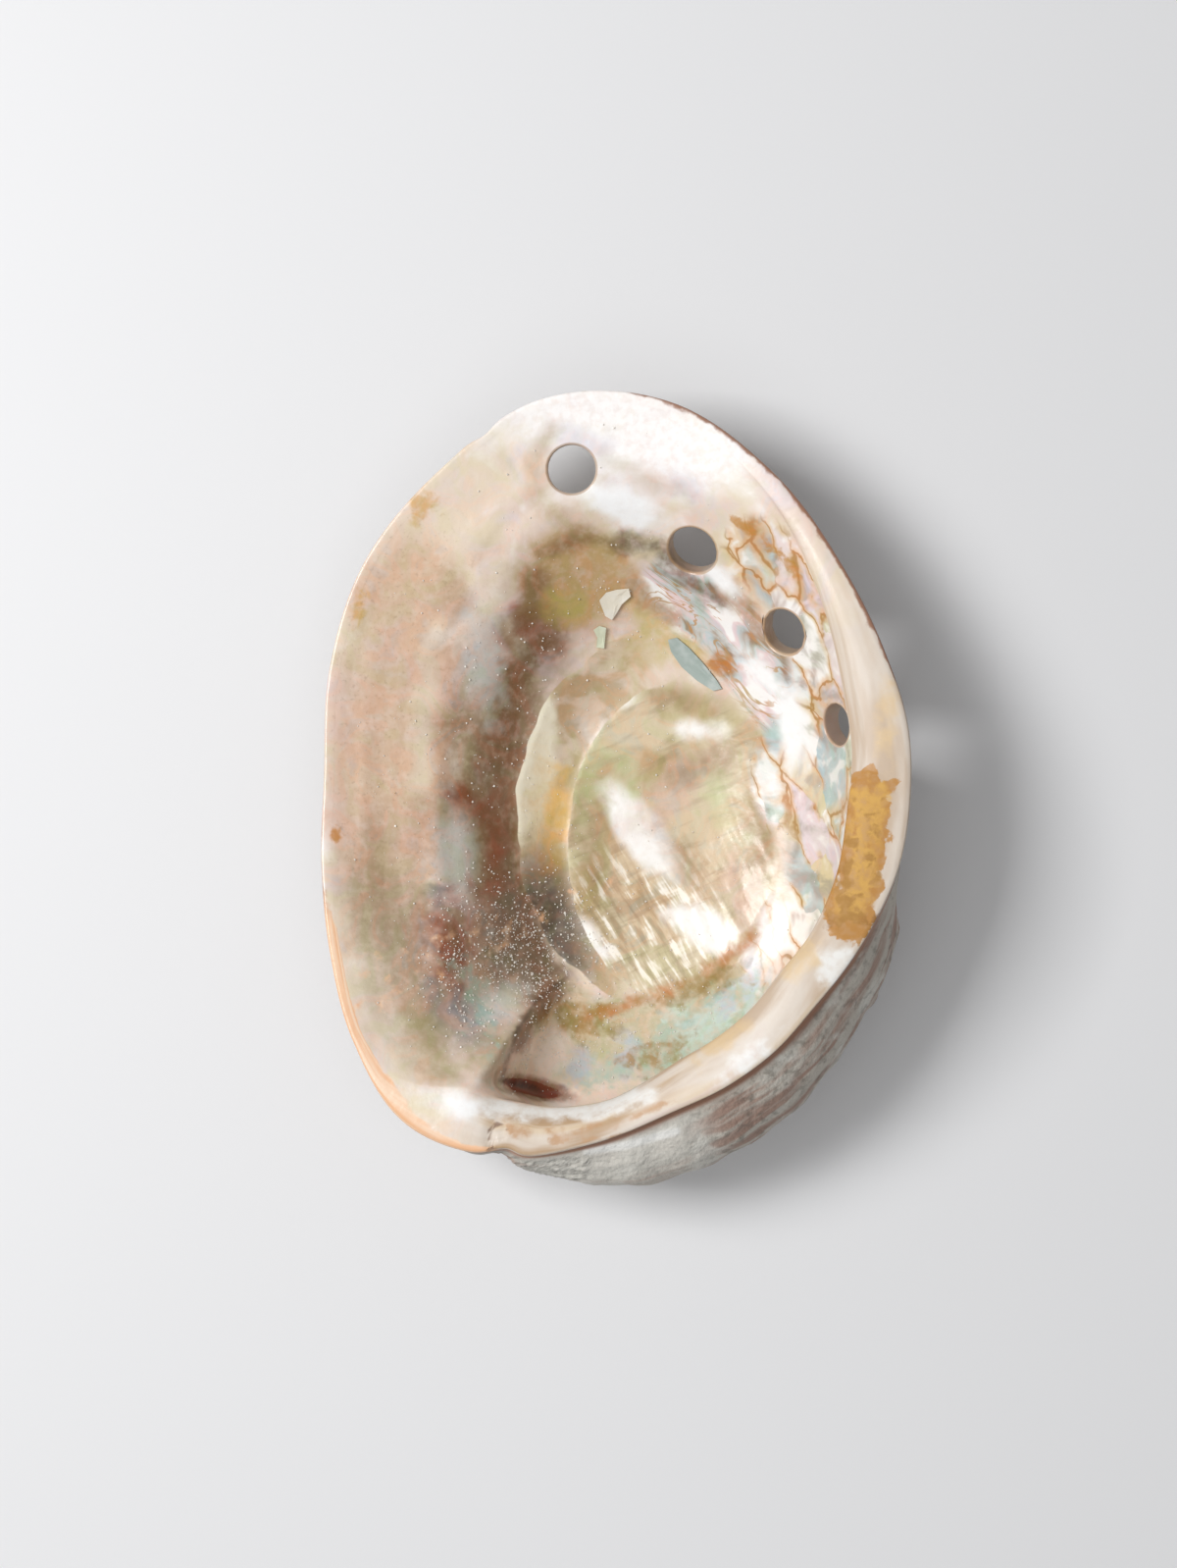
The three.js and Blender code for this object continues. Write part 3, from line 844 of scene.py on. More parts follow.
@dataclass
class Disc:
    """One surface of the shell as a square grid carried onto a disc, opened where the holes are."""

    rings: int
    surface: Surface
    spread: float = 2.6
    fitting_steps: int = 8
    angle: Array = field(init=False)
    part: Array = field(init=False)
    kept: Array = field(init=False)

    def __post_init__(self) -> None:
        """Lays the even grid."""
        line = np.arange(-self.rings, self.rings + 1) / self.rings
        a, b = np.meshgrid(line, line)
        self.angle, self.part = concentric(a, b)
        self.kept = np.ones((2 * self.rings, 2 * self.rings), bool)

    def open_hole(self, seat: HoleSeat, angle: float, part: float, radius: float, half: int) -> tuple[Array, Array]:
        """Opens a hole: a square patch of faces is dropped and the grid round it is drawn onto the hole's edge.

        Args:
            seat: the hole.
            angle: direction of the hole's middle on this surface.
            part: share of the way out to the hole's middle on this surface.
            radius: radius at which the surface ends, in mm.
            half: half the patch's width, in cells.

        Returns:
            The grid places of the vertices on the edge, once round.
        """
        off_angle = signed_turn(self.angle - angle)
        j0, i0 = np.unravel_index(
            np.argmin((off_angle * math.radians(1) * part) ** 2 + (self.part - part) ** 2), self.part.shape
        )
        step = 0.01
        middle = self.surface(np.array(angle), np.array(part))
        per_degree = np.linalg.norm(self.surface(np.array(angle + 1.0), np.array(part)) - middle)
        per_part = np.linalg.norm(self.surface(np.array(angle), np.array(part + step)) - middle) / step
        across = off_angle * per_degree
        out = (self.part - part) * per_part

        def ring(size: int) -> tuple[Array, Array, Array, Array]:
            """Returns a square ring's grid places, and its turn and reach in mm, in order of turn."""
            cols, rows = square_ring(i0, j0, size)
            turn = np.arctan2(out[rows, cols], across[rows, cols])
            order = np.argsort(turn)
            return cols, rows, turn[order], np.hypot(out[rows, cols], across[rows, cols])[order]

        wide = min(int(self.spread * half), self.rings * 2 - max(i0, j0), min(i0, j0))
        cols, rows, near_turn, near_reach = ring(half)
        _, _, far_turn, far_reach = ring(wide)
        edge_turn = np.arctan2(out[rows, cols], across[rows, cols])
        edge = np.full(edge_turn.shape, radius)
        for _ in range(self.fitting_steps):
            points = self.surface(
                angle + edge * np.cos(edge_turn) / per_degree, part + edge * np.sin(edge_turn) / per_part
            )
            edge = edge * radius / seat.from_axis(points)
        order = np.argsort(edge_turn)
        span = (slice(j0 - wide, j0 + wide + 1), slice(i0 - wide, i0 + wide + 1))
        turn = np.arctan2(out[span], across[span])
        reach = np.hypot(out[span], across[span])
        near = np.interp(turn, near_turn, near_reach, period=2 * np.pi)
        far = np.interp(turn, far_turn, far_reach, period=2 * np.pi)
        goal = np.interp(turn, edge_turn[order], edge[order], period=2 * np.pi)
        t = np.clip((reach - near) / (far - near), 0, 1)
        moved = np.where(reach < near, goal * reach / near, goal + t * (far - goal))
        self.angle[span] = angle + moved * np.cos(turn) / per_degree
        self.part[span] = np.clip(part + moved * np.sin(turn) / per_part, 0, 1)
        self.kept[j0 - half : j0 + half, i0 - half : i0 + half] = False
        return cols, rows

    def faces(self, first: int, up: bool) -> Array:
        """Returns the kept quads as vertex numbers, from the number of the first vertex."""
        side = 2 * self.rings + 1
        j, i = np.nonzero(self.kept)
        a = first + j * side + i
        quads = np.stack((a, a + 1, a + side + 1, a + side), axis=-1)
        return quads if up else quads[:, ::-1]


@dataclass
class ShellMesh:
    """The whole shell as one closed mesh: two discs joined at the rim, and a bore for each hole."""

    form: ShellForm
    growth: Growth
    holes: tuple[BreathingHole, ...]
    rings: int = 108
    patch_share: float = 0.85
    patch_limits: tuple[int, int] = (5, 14)
    points: Array = field(init=False)
    quads: Array = field(init=False)
    side: Array = field(init=False)
    angle: Array = field(init=False)
    part: Array = field(init=False)

    def build(self) -> None:
        """Works out the vertices and faces."""
        seats = [seat_hole(self.form, hole) for hole in self.holes]
        relief = Relief(self.form, self.growth, seats)
        upper = Disc(self.rings, relief.hollow)
        lower = Disc(self.rings, relief.outside)
        edges = []
        for seat in seats:
            size = seat.hole.radius + seat.hole.mouth
            cell = self.cell_size(relief, seat)
            half = int(np.clip(round(self.patch_share * size / cell), *self.patch_limits))
            inner = upper.open_hole(seat, seat.hole.angle, seat.inner_part, size, half)
            outer = lower.open_hole(seat, seat.outer_angle, seat.outer_share, size, half)
            edges.append((seat, inner, outer))
        side = 2 * self.rings + 1
        upper_points = relief.hollow(upper.angle, upper.part).reshape(-1, 3)
        lower_points = relief.outside(lower.angle, lower.part).reshape(-1, 3)
        parts = [upper_points, lower_points]
        quads = [upper.faces(0, True), lower.faces(side * side, False)]
        sides = [np.full(side * side, Side.HOLLOW.value), np.full(side * side, Side.OUTSIDE.value)]
        angles = [upper.angle.ravel(), lower.angle.ravel()]
        shares = [upper.part.ravel(), lower.part.ravel()]
        count = 2 * side * side
        for seat, (icols, irows), (ocols, orows) in edges:
            first_loop = irows * side + icols
            last_loop = side * side + orows * side + ocols
            bore, last_loop = self.bore(seat, upper_points[first_loop], lower_points, last_loop)
            rows = [first_loop]
            for row in bore:
                rows.append(count + np.arange(len(row)))
                count += len(row)
                parts.append(row)
                sides.append(np.full(len(row), Side.BORE.value))
                angles.append(np.full(len(row), seat.hole.angle))
                shares.append(np.full(len(row), seat.inner_part))
            rows.append(last_loop)
            for above, below in zip(rows[:-1], rows[1:]):
                quads.append(np.stack((above, np.roll(above, -1), np.roll(below, -1), below), axis=-1))
        self.points = np.concatenate(parts)
        self.quads = np.concatenate(quads)
        self.side = np.concatenate(sides)
        self.angle = np.concatenate(angles)
        self.part = np.concatenate(shares)
        self.join_rim(side)

    def cell_size(self, relief: Relief, seat: HoleSeat) -> float:
        """Returns the mean size of the upper disc's cells at a hole, in mm."""
        angle, part = np.array(seat.hole.angle), np.array(seat.inner_part)
        here = relief.hollow(angle, part)
        ring = np.linalg.norm(relief.hollow(angle, part + 1 / self.rings) - here)
        turn = 45 / (self.rings * seat.inner_part)
        spoke = np.linalg.norm(relief.hollow(angle + turn, part) - here)
        return float(math.sqrt(ring * spoke))

    def bore(self, seat: HoleSeat, top: Array, lower_points: Array, last_loop: Array) -> tuple[list[Array], Array]:
        """Rows of a hole's wall.

        Args:
            seat: the hole.
            top: the upper disc's points round the hole.
            lower_points: the lower disc's points.
            last_loop: numbers of the lower disc's vertices round the hole, in the same turn.

        Returns:
            The rows between the two loops, and the lower loop turned so that it starts where the upper does.
            At each mouth the wall bends over in a quarter of a round, drawn as a curve of the second degree.
        """
        bottom = lower_points[last_loop - (2 * self.rings + 1) ** 2]

        def off_axis(points: Array) -> Array:
            """Returns the way from the hole's axis straight out to points."""
            off = points - seat.middle
            return off - np.sum(off * seat.axis, axis=-1, keepdims=True) * seat.axis

        shifts = [np.sum((off_axis(top) - np.roll(off_axis(bottom), k, axis=0)) ** 2) for k in range(len(top))]
        shift = int(np.argmin(shifts))
        bottom = np.roll(bottom, shift, axis=0)
        last_loop = np.roll(last_loop, shift)
        mouth = seat.hole.mouth

        def bend(edge: Array, into: Array) -> list[Array]:
            """Returns the rows of a mouth, from its edge to where the wall runs straight into the hole."""
            spoke = off_axis(edge)
            spoke /= np.linalg.norm(spoke, axis=-1, keepdims=True)
            slope = np.roll(edge, -2, axis=0) - np.roll(edge, 2, axis=0)
            facing = np.cross(spoke, slope)
            inward = np.cross(slope, facing)
            inward /= np.linalg.norm(inward, axis=-1, keepdims=True)
            inward *= -np.sign(np.sum(inward * spoke, axis=-1, keepdims=True))
            corner = edge + inward * mouth * 0.9
            end = corner + into * mouth
            return [mix(mix(edge, corner, t), mix(corner, end, t), t) for t in (0.25, 0.5, 0.75, 1.0)]

        down = bend(top, -seat.axis)
        rise = bend(bottom, seat.axis)
        middle = [mix(down[-1], rise[-1], t) for t in (0.25, 0.5, 0.75)]
        return down + middle + rise[::-1], last_loop

    def join_rim(self, side: int) -> None:
        """Makes the two discs share their outermost vertices."""
        cols, rows = square_ring(self.rings, self.rings, self.rings)
        upper = rows * side + cols
        lower = side * side + upper
        swap = np.arange(len(self.points))
        swap[lower] = upper
        used = np.ones(len(self.points), bool)
        used[lower] = False
        quads = swap[self.quads]
        touched = np.zeros(len(self.points), bool)
        touched[quads.ravel()] = True
        used &= touched
        renumber = np.cumsum(used) - 1
        self.quads = renumber[quads]
        for name in ("points", "side", "angle", "part"):
            setattr(self, name, getattr(self, name)[used])

    def to_object(self, name: str) -> bpy.types.Object:
        """Returns the shell as a Blender object, in metres."""
        mesh = bpy.data.meshes.new(name)
        mesh.vertices.add(len(self.points))
        mesh.vertices.foreach_set("co", (self.points * MM).astype(np.float32).ravel())
        mesh.loops.add(self.quads.size)
        mesh.loops.foreach_set("vertex_index", self.quads.astype(np.int32).ravel())
        mesh.polygons.add(len(self.quads))
        mesh.polygons.foreach_set("loop_start", np.arange(0, self.quads.size, 4, dtype=np.int32))
        mesh.polygons.foreach_set("use_smooth", np.ones(len(self.quads), bool))
        mesh.update(calc_edges=True)
        mesh.validate()
        return placed(name, mesh)


# ---------------------------------------------------------------- finishes


def linear(code: str) -> tuple[float, float, float, float]:
    """Returns an sRGB colour like "c0a080" as linear red, green, blue and alpha."""
    parts = [int(code[i : i + 2], 16) / 255 for i in (0, 2, 4)]
    return (*(v / 12.92 if v <= 0.04045 else ((v + 0.055) / 1.055) ** 2.4 for v in parts), 1.0)


@dataclass(frozen=True)
class Drift:
    """A wandering pattern: the size of its features in mm, its layers of detail, and how far it is warped."""

    size: float
    detail: float = 4
    warp: float = 0


@dataclass(frozen=True)
class Tint:
    """A coloured layer laid over the finish where its marks are. Widths and sizes are in mm."""

    name: str
    colour: str
    marks: tuple[Mark, ...]
    soft: float
    wobble: float
    cell: float
    strength: float = 1.0
    mottled: float = 0.3

    @property
    def wander(self) -> Drift:
        """Returns the pattern by which the layer's edge wanders."""
        return Drift(self.cell, 4, 0.3)


@dataclass(frozen=True)
class Nacre:
    """Mother-of-pearl: thin plates of aragonite laid down by the animal and polished only by its body.

    It gives a soft white, pink or green sheen with bright, slightly blurred highlights. Sizes are in mm.
    """

    cream: str = "e8d6c0"
    pink: str = "e4cdc2"
    white: str = "fbf6f3"
    lilac: str = "dcd2da"
    broad: Drift = Drift(19, 3, 0.6)
    narrow: Drift = Drift(7, 4, 0.4)
    fine: Drift = Drift(0.7, 3)
    mottle: Drift = Drift(1.4)
    satin: Drift = Drift(2.4, 4, 0.2)
    hues: tuple[str, ...] = ("93b488", "bcbab4", "dbac9e", "9aaec4")
    hue_drift: Drift = Drift(7.5, 4, 1.4)
    swirl: tuple[str, ...] = ("8d7660", "c4d3d6", "e8d3d8", "ffffff")
    vein: str = "b98a50"
    swirl_edge: Drift = Drift(6)
    speckle: str = "8d7763"
    roughness: float = 0.34
    coat: float = 0.3
    coat_roughness: float = 0.12
    gloss: float = 0.6


@dataclass(frozen=True)
class MuscleScar:
    """The pad of ribbed nacre where the foot muscle held: laid down in ripples about a millimetre wide."""

    gold: str = "b79d70"
    pale: str = "d6c7a8"
    shade: str = "937a57"
    shine: str = "fff9ec"
    band: tuple[str, ...] = ("bfa780", "dcc9b3", "efe3d2")
    band_drift: Drift = Drift(6, 4, 0.4)
    pad_drift: Drift = Drift(12, 4, 0.5)
    ripple: float = 1.2
    ripple_length: float = 7.0
    cross_ripple: float = 1.8
    cross_length: float = 9.0


@dataclass(frozen=True)
class Patchwork:
    """Overlapping sheets of nacre with brown organic glue showing in the gaps. Sizes are in mm."""

    white: str = "fdfbf8"
    teal: str = "b9cbcd"
    rose: str = "e6d6dd"
    gold: str = "e2cfa6"
    grey: str = "a0948a"
    glue: str = "b3803f"
    stain: str = "dcb27a"
    cell: float = 6.5
    glue_width: float = 0.11
    bend: Drift = Drift(6, 3)
    shade_drift: Drift = Drift(6, 3, 0.6)
    glue_drift: Drift = Drift(7, 2)


@dataclass(frozen=True)
class Crust:
    """Outside of the shell: dull chalky layers of brick-red and taupe, worn by the sea and overgrown."""

    taupe: str = "c2bbb0"
    brick: str = "9b7666"
    chalk: str = "dad8d0"
    grime: str = "6b6459"
    bared: str = "d9d6cd"
    # Painted highlight: the white streak along the rim's lower edge outside.
    glint_white: str = "fbfbf8"
    patches: Drift = Drift(11, 5, 0.5)
    grit: Drift = Drift(1.8)
    grain: Drift = Drift(1.2, 5)
    roughness: float = 0.72


@dataclass(frozen=True)
class LipEdge:
    """The lip and shelf: matt porcelain-like shell, edged by the coloured outer layer, orange or reddish brown."""

    orange: str = "f0b98c"
    pale_orange: str = "f8dcc0"
    brown: str = "9c6a4e"
    tan: str = "cbb7a2"
    cream: str = "ddd1c4"
    sand: str = "dcc29b"
    rose: str = "dcc5be"
    umber: str = "b08c63"
    ragged: Drift = Drift(2.5)


VALLEY_TINTS: tuple[Tint, ...] = (
    Tint("front_white", "fefaf8", (Oval(640, 440, 150, 50, 12),), 8, 2.0, 12),
    Tint("front_cream", "ead6bf", (Oval(440, 540, 70, 60, -35),), 8, 3.0, 10, 0.7),
    Tint("front_lilac", "d5cfd9", (Oval(590, 452, 34, 12, 20), Oval(700, 500, 30, 12, 40)), 4, 2.0, 6, 0.6),
    Tint("floor_sage", "c3b995", (Trail(((590, 1055), (680, 1060), (760, 1010)), 42),), 6, 2.0, 6, 0.9),
    Tint("flare_beige", "cba684", (Oval(405, 760, 66, 175, 4), Oval(420, 610, 55, 60)), 9, 2.5, 10, 0.72),
    # Painted highlight: a pale streak down the flare where it reflects the light.
    Tint("flare_smear", "efe0ca", (Trail(((445, 640), (432, 720), (428, 800)), 8),), 4, 1.2, 6, 0.7),
    Tint("low_cream", "e9dbc6", (Oval(400, 1020, 36, 110, -22),), 6, 2.0, 6, 0.7),
    Tint("shaded_flare", "8c6c42", (Oval(508, 820, 62, 205, 0), Oval(424, 975, 38, 84, -20)), 12, 4.5, 10, 0.72),
    # Painted shade: dark brown where the hollow's left wall slopes away from the light, down into the valley by the
    # pad.
    Tint("valley_painted_shade", "7a4f26",
         (Trail(((566, 640), (530, 690), (508, 780), (508, 880), (535, 950), (560, 1000)), 20),), 6, 1.8, 6, 0.85),
    Tint("sandy_shade", "6f5d49", (Oval(536, 975, 34, 48, -12), Oval(515, 940, 22, 40)), 6, 2.2, 6, 0.75),
    Tint("cool_grey", "d2d6d2", (Oval(494, 672, 17, 46, -8), Oval(468, 872, 20, 44, -8),
         Oval(506, 1022, 26, 16, -30)), 4, 2.0, 4, 0.62),
    Tint("rust", "85420e", (Trail(((470, 808), (496, 826), (508, 868), (494, 908)), 11), Oval(459, 960, 19, 44, -6),
         Trail(((526, 645), (540, 625), (560, 618)), 12)), 4.5, 1.8, 4, 0.9, 0.1),
    Tint("violet", "84888c", (Oval(474, 1040, 16, 26, -20), Oval(446, 916, 8, 11), Oval(445, 1022, 8, 22, -20)),
         3, 1.6, 4, 0.55),
    Tint("low_shade", "a48c70", (Oval(390, 940, 34, 68, -8), Oval(430, 1050, 26, 52, -30)), 8, 2.5, 6, 0.6),
    Tint("low_olive", "a8946a", (Oval(432, 1060, 14, 40, -25), Oval(500, 1080, 22, 26)), 3, 1.6, 4, 0.5),
    Tint("olive", "c39f63", (Oval(590, 588, 62, 50),), 6, 2.2, 6, 0.85),
    Tint("olive_ring", "7d5734", (Trail(((556, 655), (545, 625), (546, 590)), 14),
         Trail(((552, 566), (600, 548), (640, 556)), 4)), 5, 2.0, 6, 0.7),
    Tint("yellow", "c7b467", (Oval(580, 618, 24, 18), Oval(690, 640, 60, 30, 30), Oval(640, 668, 34, 24)),
         5, 2.0, 4, 0.72),
)
BAND_TINTS: tuple[Tint, ...] = (
    # Painted highlight: the pad's outer step, bright along its left edge where it faces the light.
    Tint("band_light", "fff8e2", (Oval(540, 772, 28, 84, 4),), 2.4, 0.8, 4, 1.0, 0.05),
    Tint("band_glow", "e5cb95", (Oval(552, 820, 14, 50, 3),), 3.0, 1.2, 4, 0.6),
    Tint("band_gold", "eeb850", (Oval(568, 838, 12, 50, 3),), 2.6, 1.2, 4, 0.75),
    Tint("band_shade", "3a2614", (Oval(558, 962, 44, 84, -4),), 8, 1.0, 6, 0.92, 0.15),
)
PAD_TINTS: tuple[Tint, ...] = (
    # Painted highlights: the near-white spots of the pearl tint on the muscle pad, where it reflects the light.
    Tint("pearl", "fffdfa", (Oval(652, 846, 20, 58, -38), Oval(716, 945, 40, 20, 30), Oval(633, 712, 15, 10),
         Oval(714, 745, 24, 11), Oval(606, 960, 6, 26, -35)), 2.6, 1.2, 6, 1.0, 0.1),
    Tint("pad_rose", "dcc0b4", (Oval(690, 800, 60, 22, -38), Oval(760, 900, 26, 50, 0)), 4, 2.0, 6, 0.5),
    Tint("pad_brown", "9a7b50", (Oval(600, 850, 18, 60, -10), Oval(700, 880, 12, 36, -38),
         Oval(725, 775, 40, 12, -30), Oval(772, 860, 18, 60, 4), Oval(690, 712, 30, 10, 10)), 4, 2.0, 6, 0.6),
    Tint("pad_green", "c3cb9c", (Oval(600, 770, 18, 50, 0), Oval(640, 790, 12, 30, -30), Oval(740, 830, 12, 36, -20)),
         4, 2.0, 4, 0.5),
)
TOP_TINTS: tuple[Tint, ...] = (
    Tint("hole_shade", "7a5f49", (Trail(((636, 552), (668, 556), (700, 590), (738, 612)), 9),), 3.2, 1.2, 3, 0.85),
    Tint("wall_tan", "b58f6c", (Trail(((742, 600), (762, 625), (785, 652)), 9),
         Trail(((640, 590), (660, 615), (690, 628)), 7)), 3.2, 1.6, 4, 0.8),
    # Painted highlights: pure white patches where the hollow reflects the light, by the front holes and on the right
    # wall.
    Tint("front_light", "ffffff", (Oval(633, 515, 46, 18, 22), Oval(484, 1132, 50, 14, 18), Oval(735, 590, 20, 6, 45),
         Oval(780, 690, 34, 9, 50), Oval(808, 745, 14, 40, -15)), 2.6, 1.0, 6, 1.0, 0.08),
    Tint("front_tan", "c3a587", (Trail(((560, 440), (543, 475), (550, 515), (575, 528)), 8),
         Oval(660, 486, 30, 6, 25)), 4, 1.2, 6, 0.65),
    Tint("teal", "adc4b4", (Oval(712, 1050, 84, 26, -34), Oval(620, 1095, 30, 14), Oval(487, 1030, 9, 32, -18)),
         4, 3.2, 3, 0.85, 0.5),
    Tint("teal_light", "cfdfd6", (Oval(722, 1046, 50, 14, -38), Oval(690, 1030, 14, 8, -38)),
         2.5, 2.6, 2.4, 0.7, 0.5),
    Tint("floor_blue", "b9c4d2", (Oval(590, 1088, 18, 18), Oval(640, 1075, 10, 22), Oval(760, 1000, 30, 10, -50)),
         3, 2.4, 2.4, 0.7),
    Tint("floor_olive", "9d7f38", (Oval(594, 1040, 36, 18), Oval(668, 1078, 26, 10, -15),
         Oval(715, 1005, 36, 9, -20)), 3, 3.0, 2.4, 0.8, 0.5),
    Tint("amber", "b9792f", (Trail(((600, 1036), (650, 1022), (715, 995), (772, 948)), 4), Oval(735, 677, 12, 6, 15)),
         2.2, 1.8, 4, 0.8),
    Tint("rose", "f2e2d6", (Oval(562, 1072, 20, 26), Oval(795, 920, 9, 90, 4)), 2.6, 1.2, 4, 0.85),
    # Painted shade: brown on the fold's steep face, which faces away from the light.
    Tint("brown_face", "74502f", (Trail(((562, 1012), (541, 1040), (530, 1062)), 9),), 2.0, 0.8, 3, 0.85, 0.1),
    # Painted shade: the red-brown round the spire's slit and the near-black in it stand for the shadow in the deep
    # pocket under the shelf.
    Tint("slit_surround_shade", "8a5a3a", (Oval(546, 1109, 38, 11, 13),), 1.2, 0.4, 2.4, 0.85),
    Tint("slit", "7d3a1c", (Oval(542, 1109, 31, 7.5, 14),), 0.25, 0.12, 2.4, 1.0, 0.0),
    Tint("slit_depth", "1c0a04", (Oval(532, 1106, 18, 3.4, 14),), 0.9, 0.1, 2.4, 0.85, 0.0),
    Tint("fold_shadow", "4f3a27", (Trail(((578, 996), (547, 1020), (528, 1050), (516, 1085), (512, 1102)), 2.0),),
         0.9, 0.3, 3, 0.75, 0.1),
    Tint("edge_stain", "cfa352", (Oval(430, 516, 11, 15), Oval(364, 622, 5, 12, 12)), 2.0, 1.6, 2.4, 0.75),
    Tint("ochre", "bd8434", (Oval(342, 852, 5, 7), Trail(((742, 526), (768, 542), (792, 560), (812, 584)), 1.8),
         Oval(800, 572, 12, 4, 40)), 0.9, 1.2, 2.4, 0.85),
)
SHELF_TINTS: tuple[Tint, ...] = (
    Tint("shelf_pearl", "f1f1ee", (Trail(((450, 1122), (530, 1132), (600, 1134), (660, 1114)), 8),
         Oval(855, 985, 20, 20), Oval(762, 1082, 30, 9, -35)), 2.4, 1.4, 3, 0.85),
    Tint("shelf_cream", "dcbf93", (Oval(818, 975, 16, 22, 30), Oval(735, 1062, 34, 8, -35), Oval(905, 745, 8, 40)),
         2.6, 1.6, 4, 0.8),
    Tint("shelf_tan", "bd9064", (Trail(((518, 1150), (560, 1153), (620, 1147), (690, 1122)), 2.5),
         Oval(527, 1156, 12, 4), Trail(((560, 1164), (640, 1158), (720, 1128)), 1.6)), 0.8, 0.8, 3, 0.85),
    Tint("spire_line", "7d5f49", (Trail(((516, 1150), (506, 1146), (499, 1152), (499, 1164), (505, 1178)), 2),),
         0.5, 0.2, 3, 0.9, 0.1),
    Tint("shelf_crust", "b98133", (Trail(((886, 808), (878, 870), (866, 935)), 25),), 0.7, 2.4, 3, 0.95, 0.15),
    Tint("crust_light", "dcae58", (Trail(((888, 815), (880, 870), (868, 925)), 16),), 2.4, 2.6, 2.4, 0.7, 0.6),
    Tint("crust_dark", "8f5f22", (Oval(862, 890, 7, 26, 8), Oval(892, 860, 6, 22), Oval(872, 936, 20, 6)),
         1.4, 2.4, 2.4, 0.6, 0.5),
)
TINTS = VALLEY_TINTS + BAND_TINTS + PAD_TINTS + TOP_TINTS + SHELF_TINTS

Socket = bpy.types.NodeSocket
SMOOTH = {"interpolation_type": "SMOOTHSTEP"}
PLACED = {"vector_type": "TEXTURE"}
COLOURS = {"data_type": "RGBA"}
SOFT_LIGHT = {"data_type": "RGBA", "blend_type": "SOFT_LIGHT"}
NUMBERS = {"data_type": "FLOAT"}
TIMES, LESS, GREATER, SIZE, TIMES_PLUS = (
    {"operation": name} for name in ("MULTIPLY", "SUBTRACT", "MAXIMUM", "ABSOLUTE", "MULTIPLY_ADD")
)


def per_metre(size: float) -> float:
    """Returns how many features of a size in mm fit in a metre."""
    return 1 / (size * MM)


@dataclass
class Nodes:
    """A material's nodes. One that is asked for again with the same settings and links isn't made twice."""

    tree: bpy.types.NodeTree
    made: dict[str, bpy.types.Node] = field(default_factory=dict)

    def add(self, kind: str, inputs: dict, settings: dict | None = None, out: int | str = 0) -> Socket:
        """Adds a node with its settings and links.

        Args:
            kind: its type in Blender, less the word ShaderNode.
            inputs: for each input, by name or number, a value, an sRGB code or the socket to link.
            settings: its properties.
            out: the output to return, by name or number.

        Returns:
            That output.
        """
        given = {name: linear(value) if isinstance(value, str) else value for name, value in inputs.items()}
        key = [(name, value.as_pointer() if isinstance(value, Socket) else value) for name, value in given.items()]
        key = f"{kind} {key} {settings}"
        if key not in self.made:
            node = self.made[key] = self.tree.nodes.new("ShaderNode" + kind)
            for name, value in (settings or {}).items():
                setattr(node, name, value)
            for name, value in given.items():
                if isinstance(value, Socket):
                    self.tree.links.new(value, node.inputs[name])
                else:
                    node.inputs[name].default_value = value
        return self.made[key].outputs[out]


class Finish:
    """A material under way: its nodes and shader, the numbers kept at the vertices, and its drifting patterns."""

    def __init__(self, name: str, kept: tuple[str, ...], drifts: tuple[Drift, ...]) -> None:
        """Starts a material.

        Args:
            name: the material's name.
            kept: names of the numbers that it reads at the vertices.
            drifts: the patterns that it uses.
        """
        self.material = bpy.data.materials.new(name)
        self.material.use_nodes = True
        self.shader = self.material.node_tree.nodes["Principled BSDF"]
        self.nodes = Nodes(self.material.node_tree)
        self.place = self.nodes.add("TexCoord", {}, None, "Object")
        self.kept = {word: self.nodes.add("Attribute", {}, {"attribute_name": word}, "Fac") for word in kept}
        self.noise = {
            drift: self.nodes.add(
                "TexNoise",
                {
                    "Vector": self.place,
                    "Scale": per_metre(drift.size),
                    "Detail": drift.detail,
                    "Distortion": drift.warp,
                },
            )
            for drift in drifts
        }

    def dress(self, **inputs: object) -> None:
        """Sets or links the shader's inputs. Their names are written with _ for a space."""
        for name, value in inputs.items():
            socket = self.shader.inputs[name.replace("_", " ")]
            if isinstance(value, Socket):
                self.material.node_tree.links.new(value, socket)
            else:
                socket.default_value = value

    def lay(
        self,
        below: Socket | str,
        above: Socket | str,
        value: Socket,
        low: float = 0.0,
        high: float = 1.0,
        top: float = 1.0,
        held: Socket | None = None,
    ) -> Socket:
        """Lays a colour over another.

        Args:
            below: the colour underneath, as a socket or an sRGB code.
            above: the colour on top.
            value: the number that says where it shows.
            low: the number at which it leaves 0.
            high: the number at which it reaches its full share.
            top: that share.
            held: a number that the share is multiplied by.

        Returns:
            The blended colour.
        """
        share = self.nodes.add("MapRange", {"Value": value, "From Min": low, "From Max": high, "To Max": top}, SMOOTH)
        if held is not None:
            share = self.nodes.add("Math", {0: share, 1: held}, TIMES)
        return self.nodes.add("Mix", {0: share, 6: below, 7: above}, COLOURS, 2)

    def laid(self, tones: tuple[str, ...], value: Socket, levels: tuple[tuple[float, float], ...]) -> Socket:
        """Returns tones laid over each other in turn, each between its own two levels of a number."""
        colour: Socket | str = tones[0]
        for tone, (low, high) in zip(tones[1:], levels):
            colour = self.lay(colour, tone, value, low, high)
        return colour


KEPT = (
    "pad_outer", "pad_inner", "pad_shows", "rippled", "sheeted", "swirled", "speckled", "shelf", "streaked", "edge",
    "orange_lip", "outside", "corded", "worn_through", "glint", "bore",
)  # fmt: skip

# Marks where the shell is duller: the name, the two depths between which it dulls, and how far it goes.
DULL_MARKS = (("ochre", -0.4, 0.6, 0.8), ("shelf_crust", -0.4, 0.6, 1), ("shelf", 0, 1, 0.65), ("teal", -3, 1, 0.6))


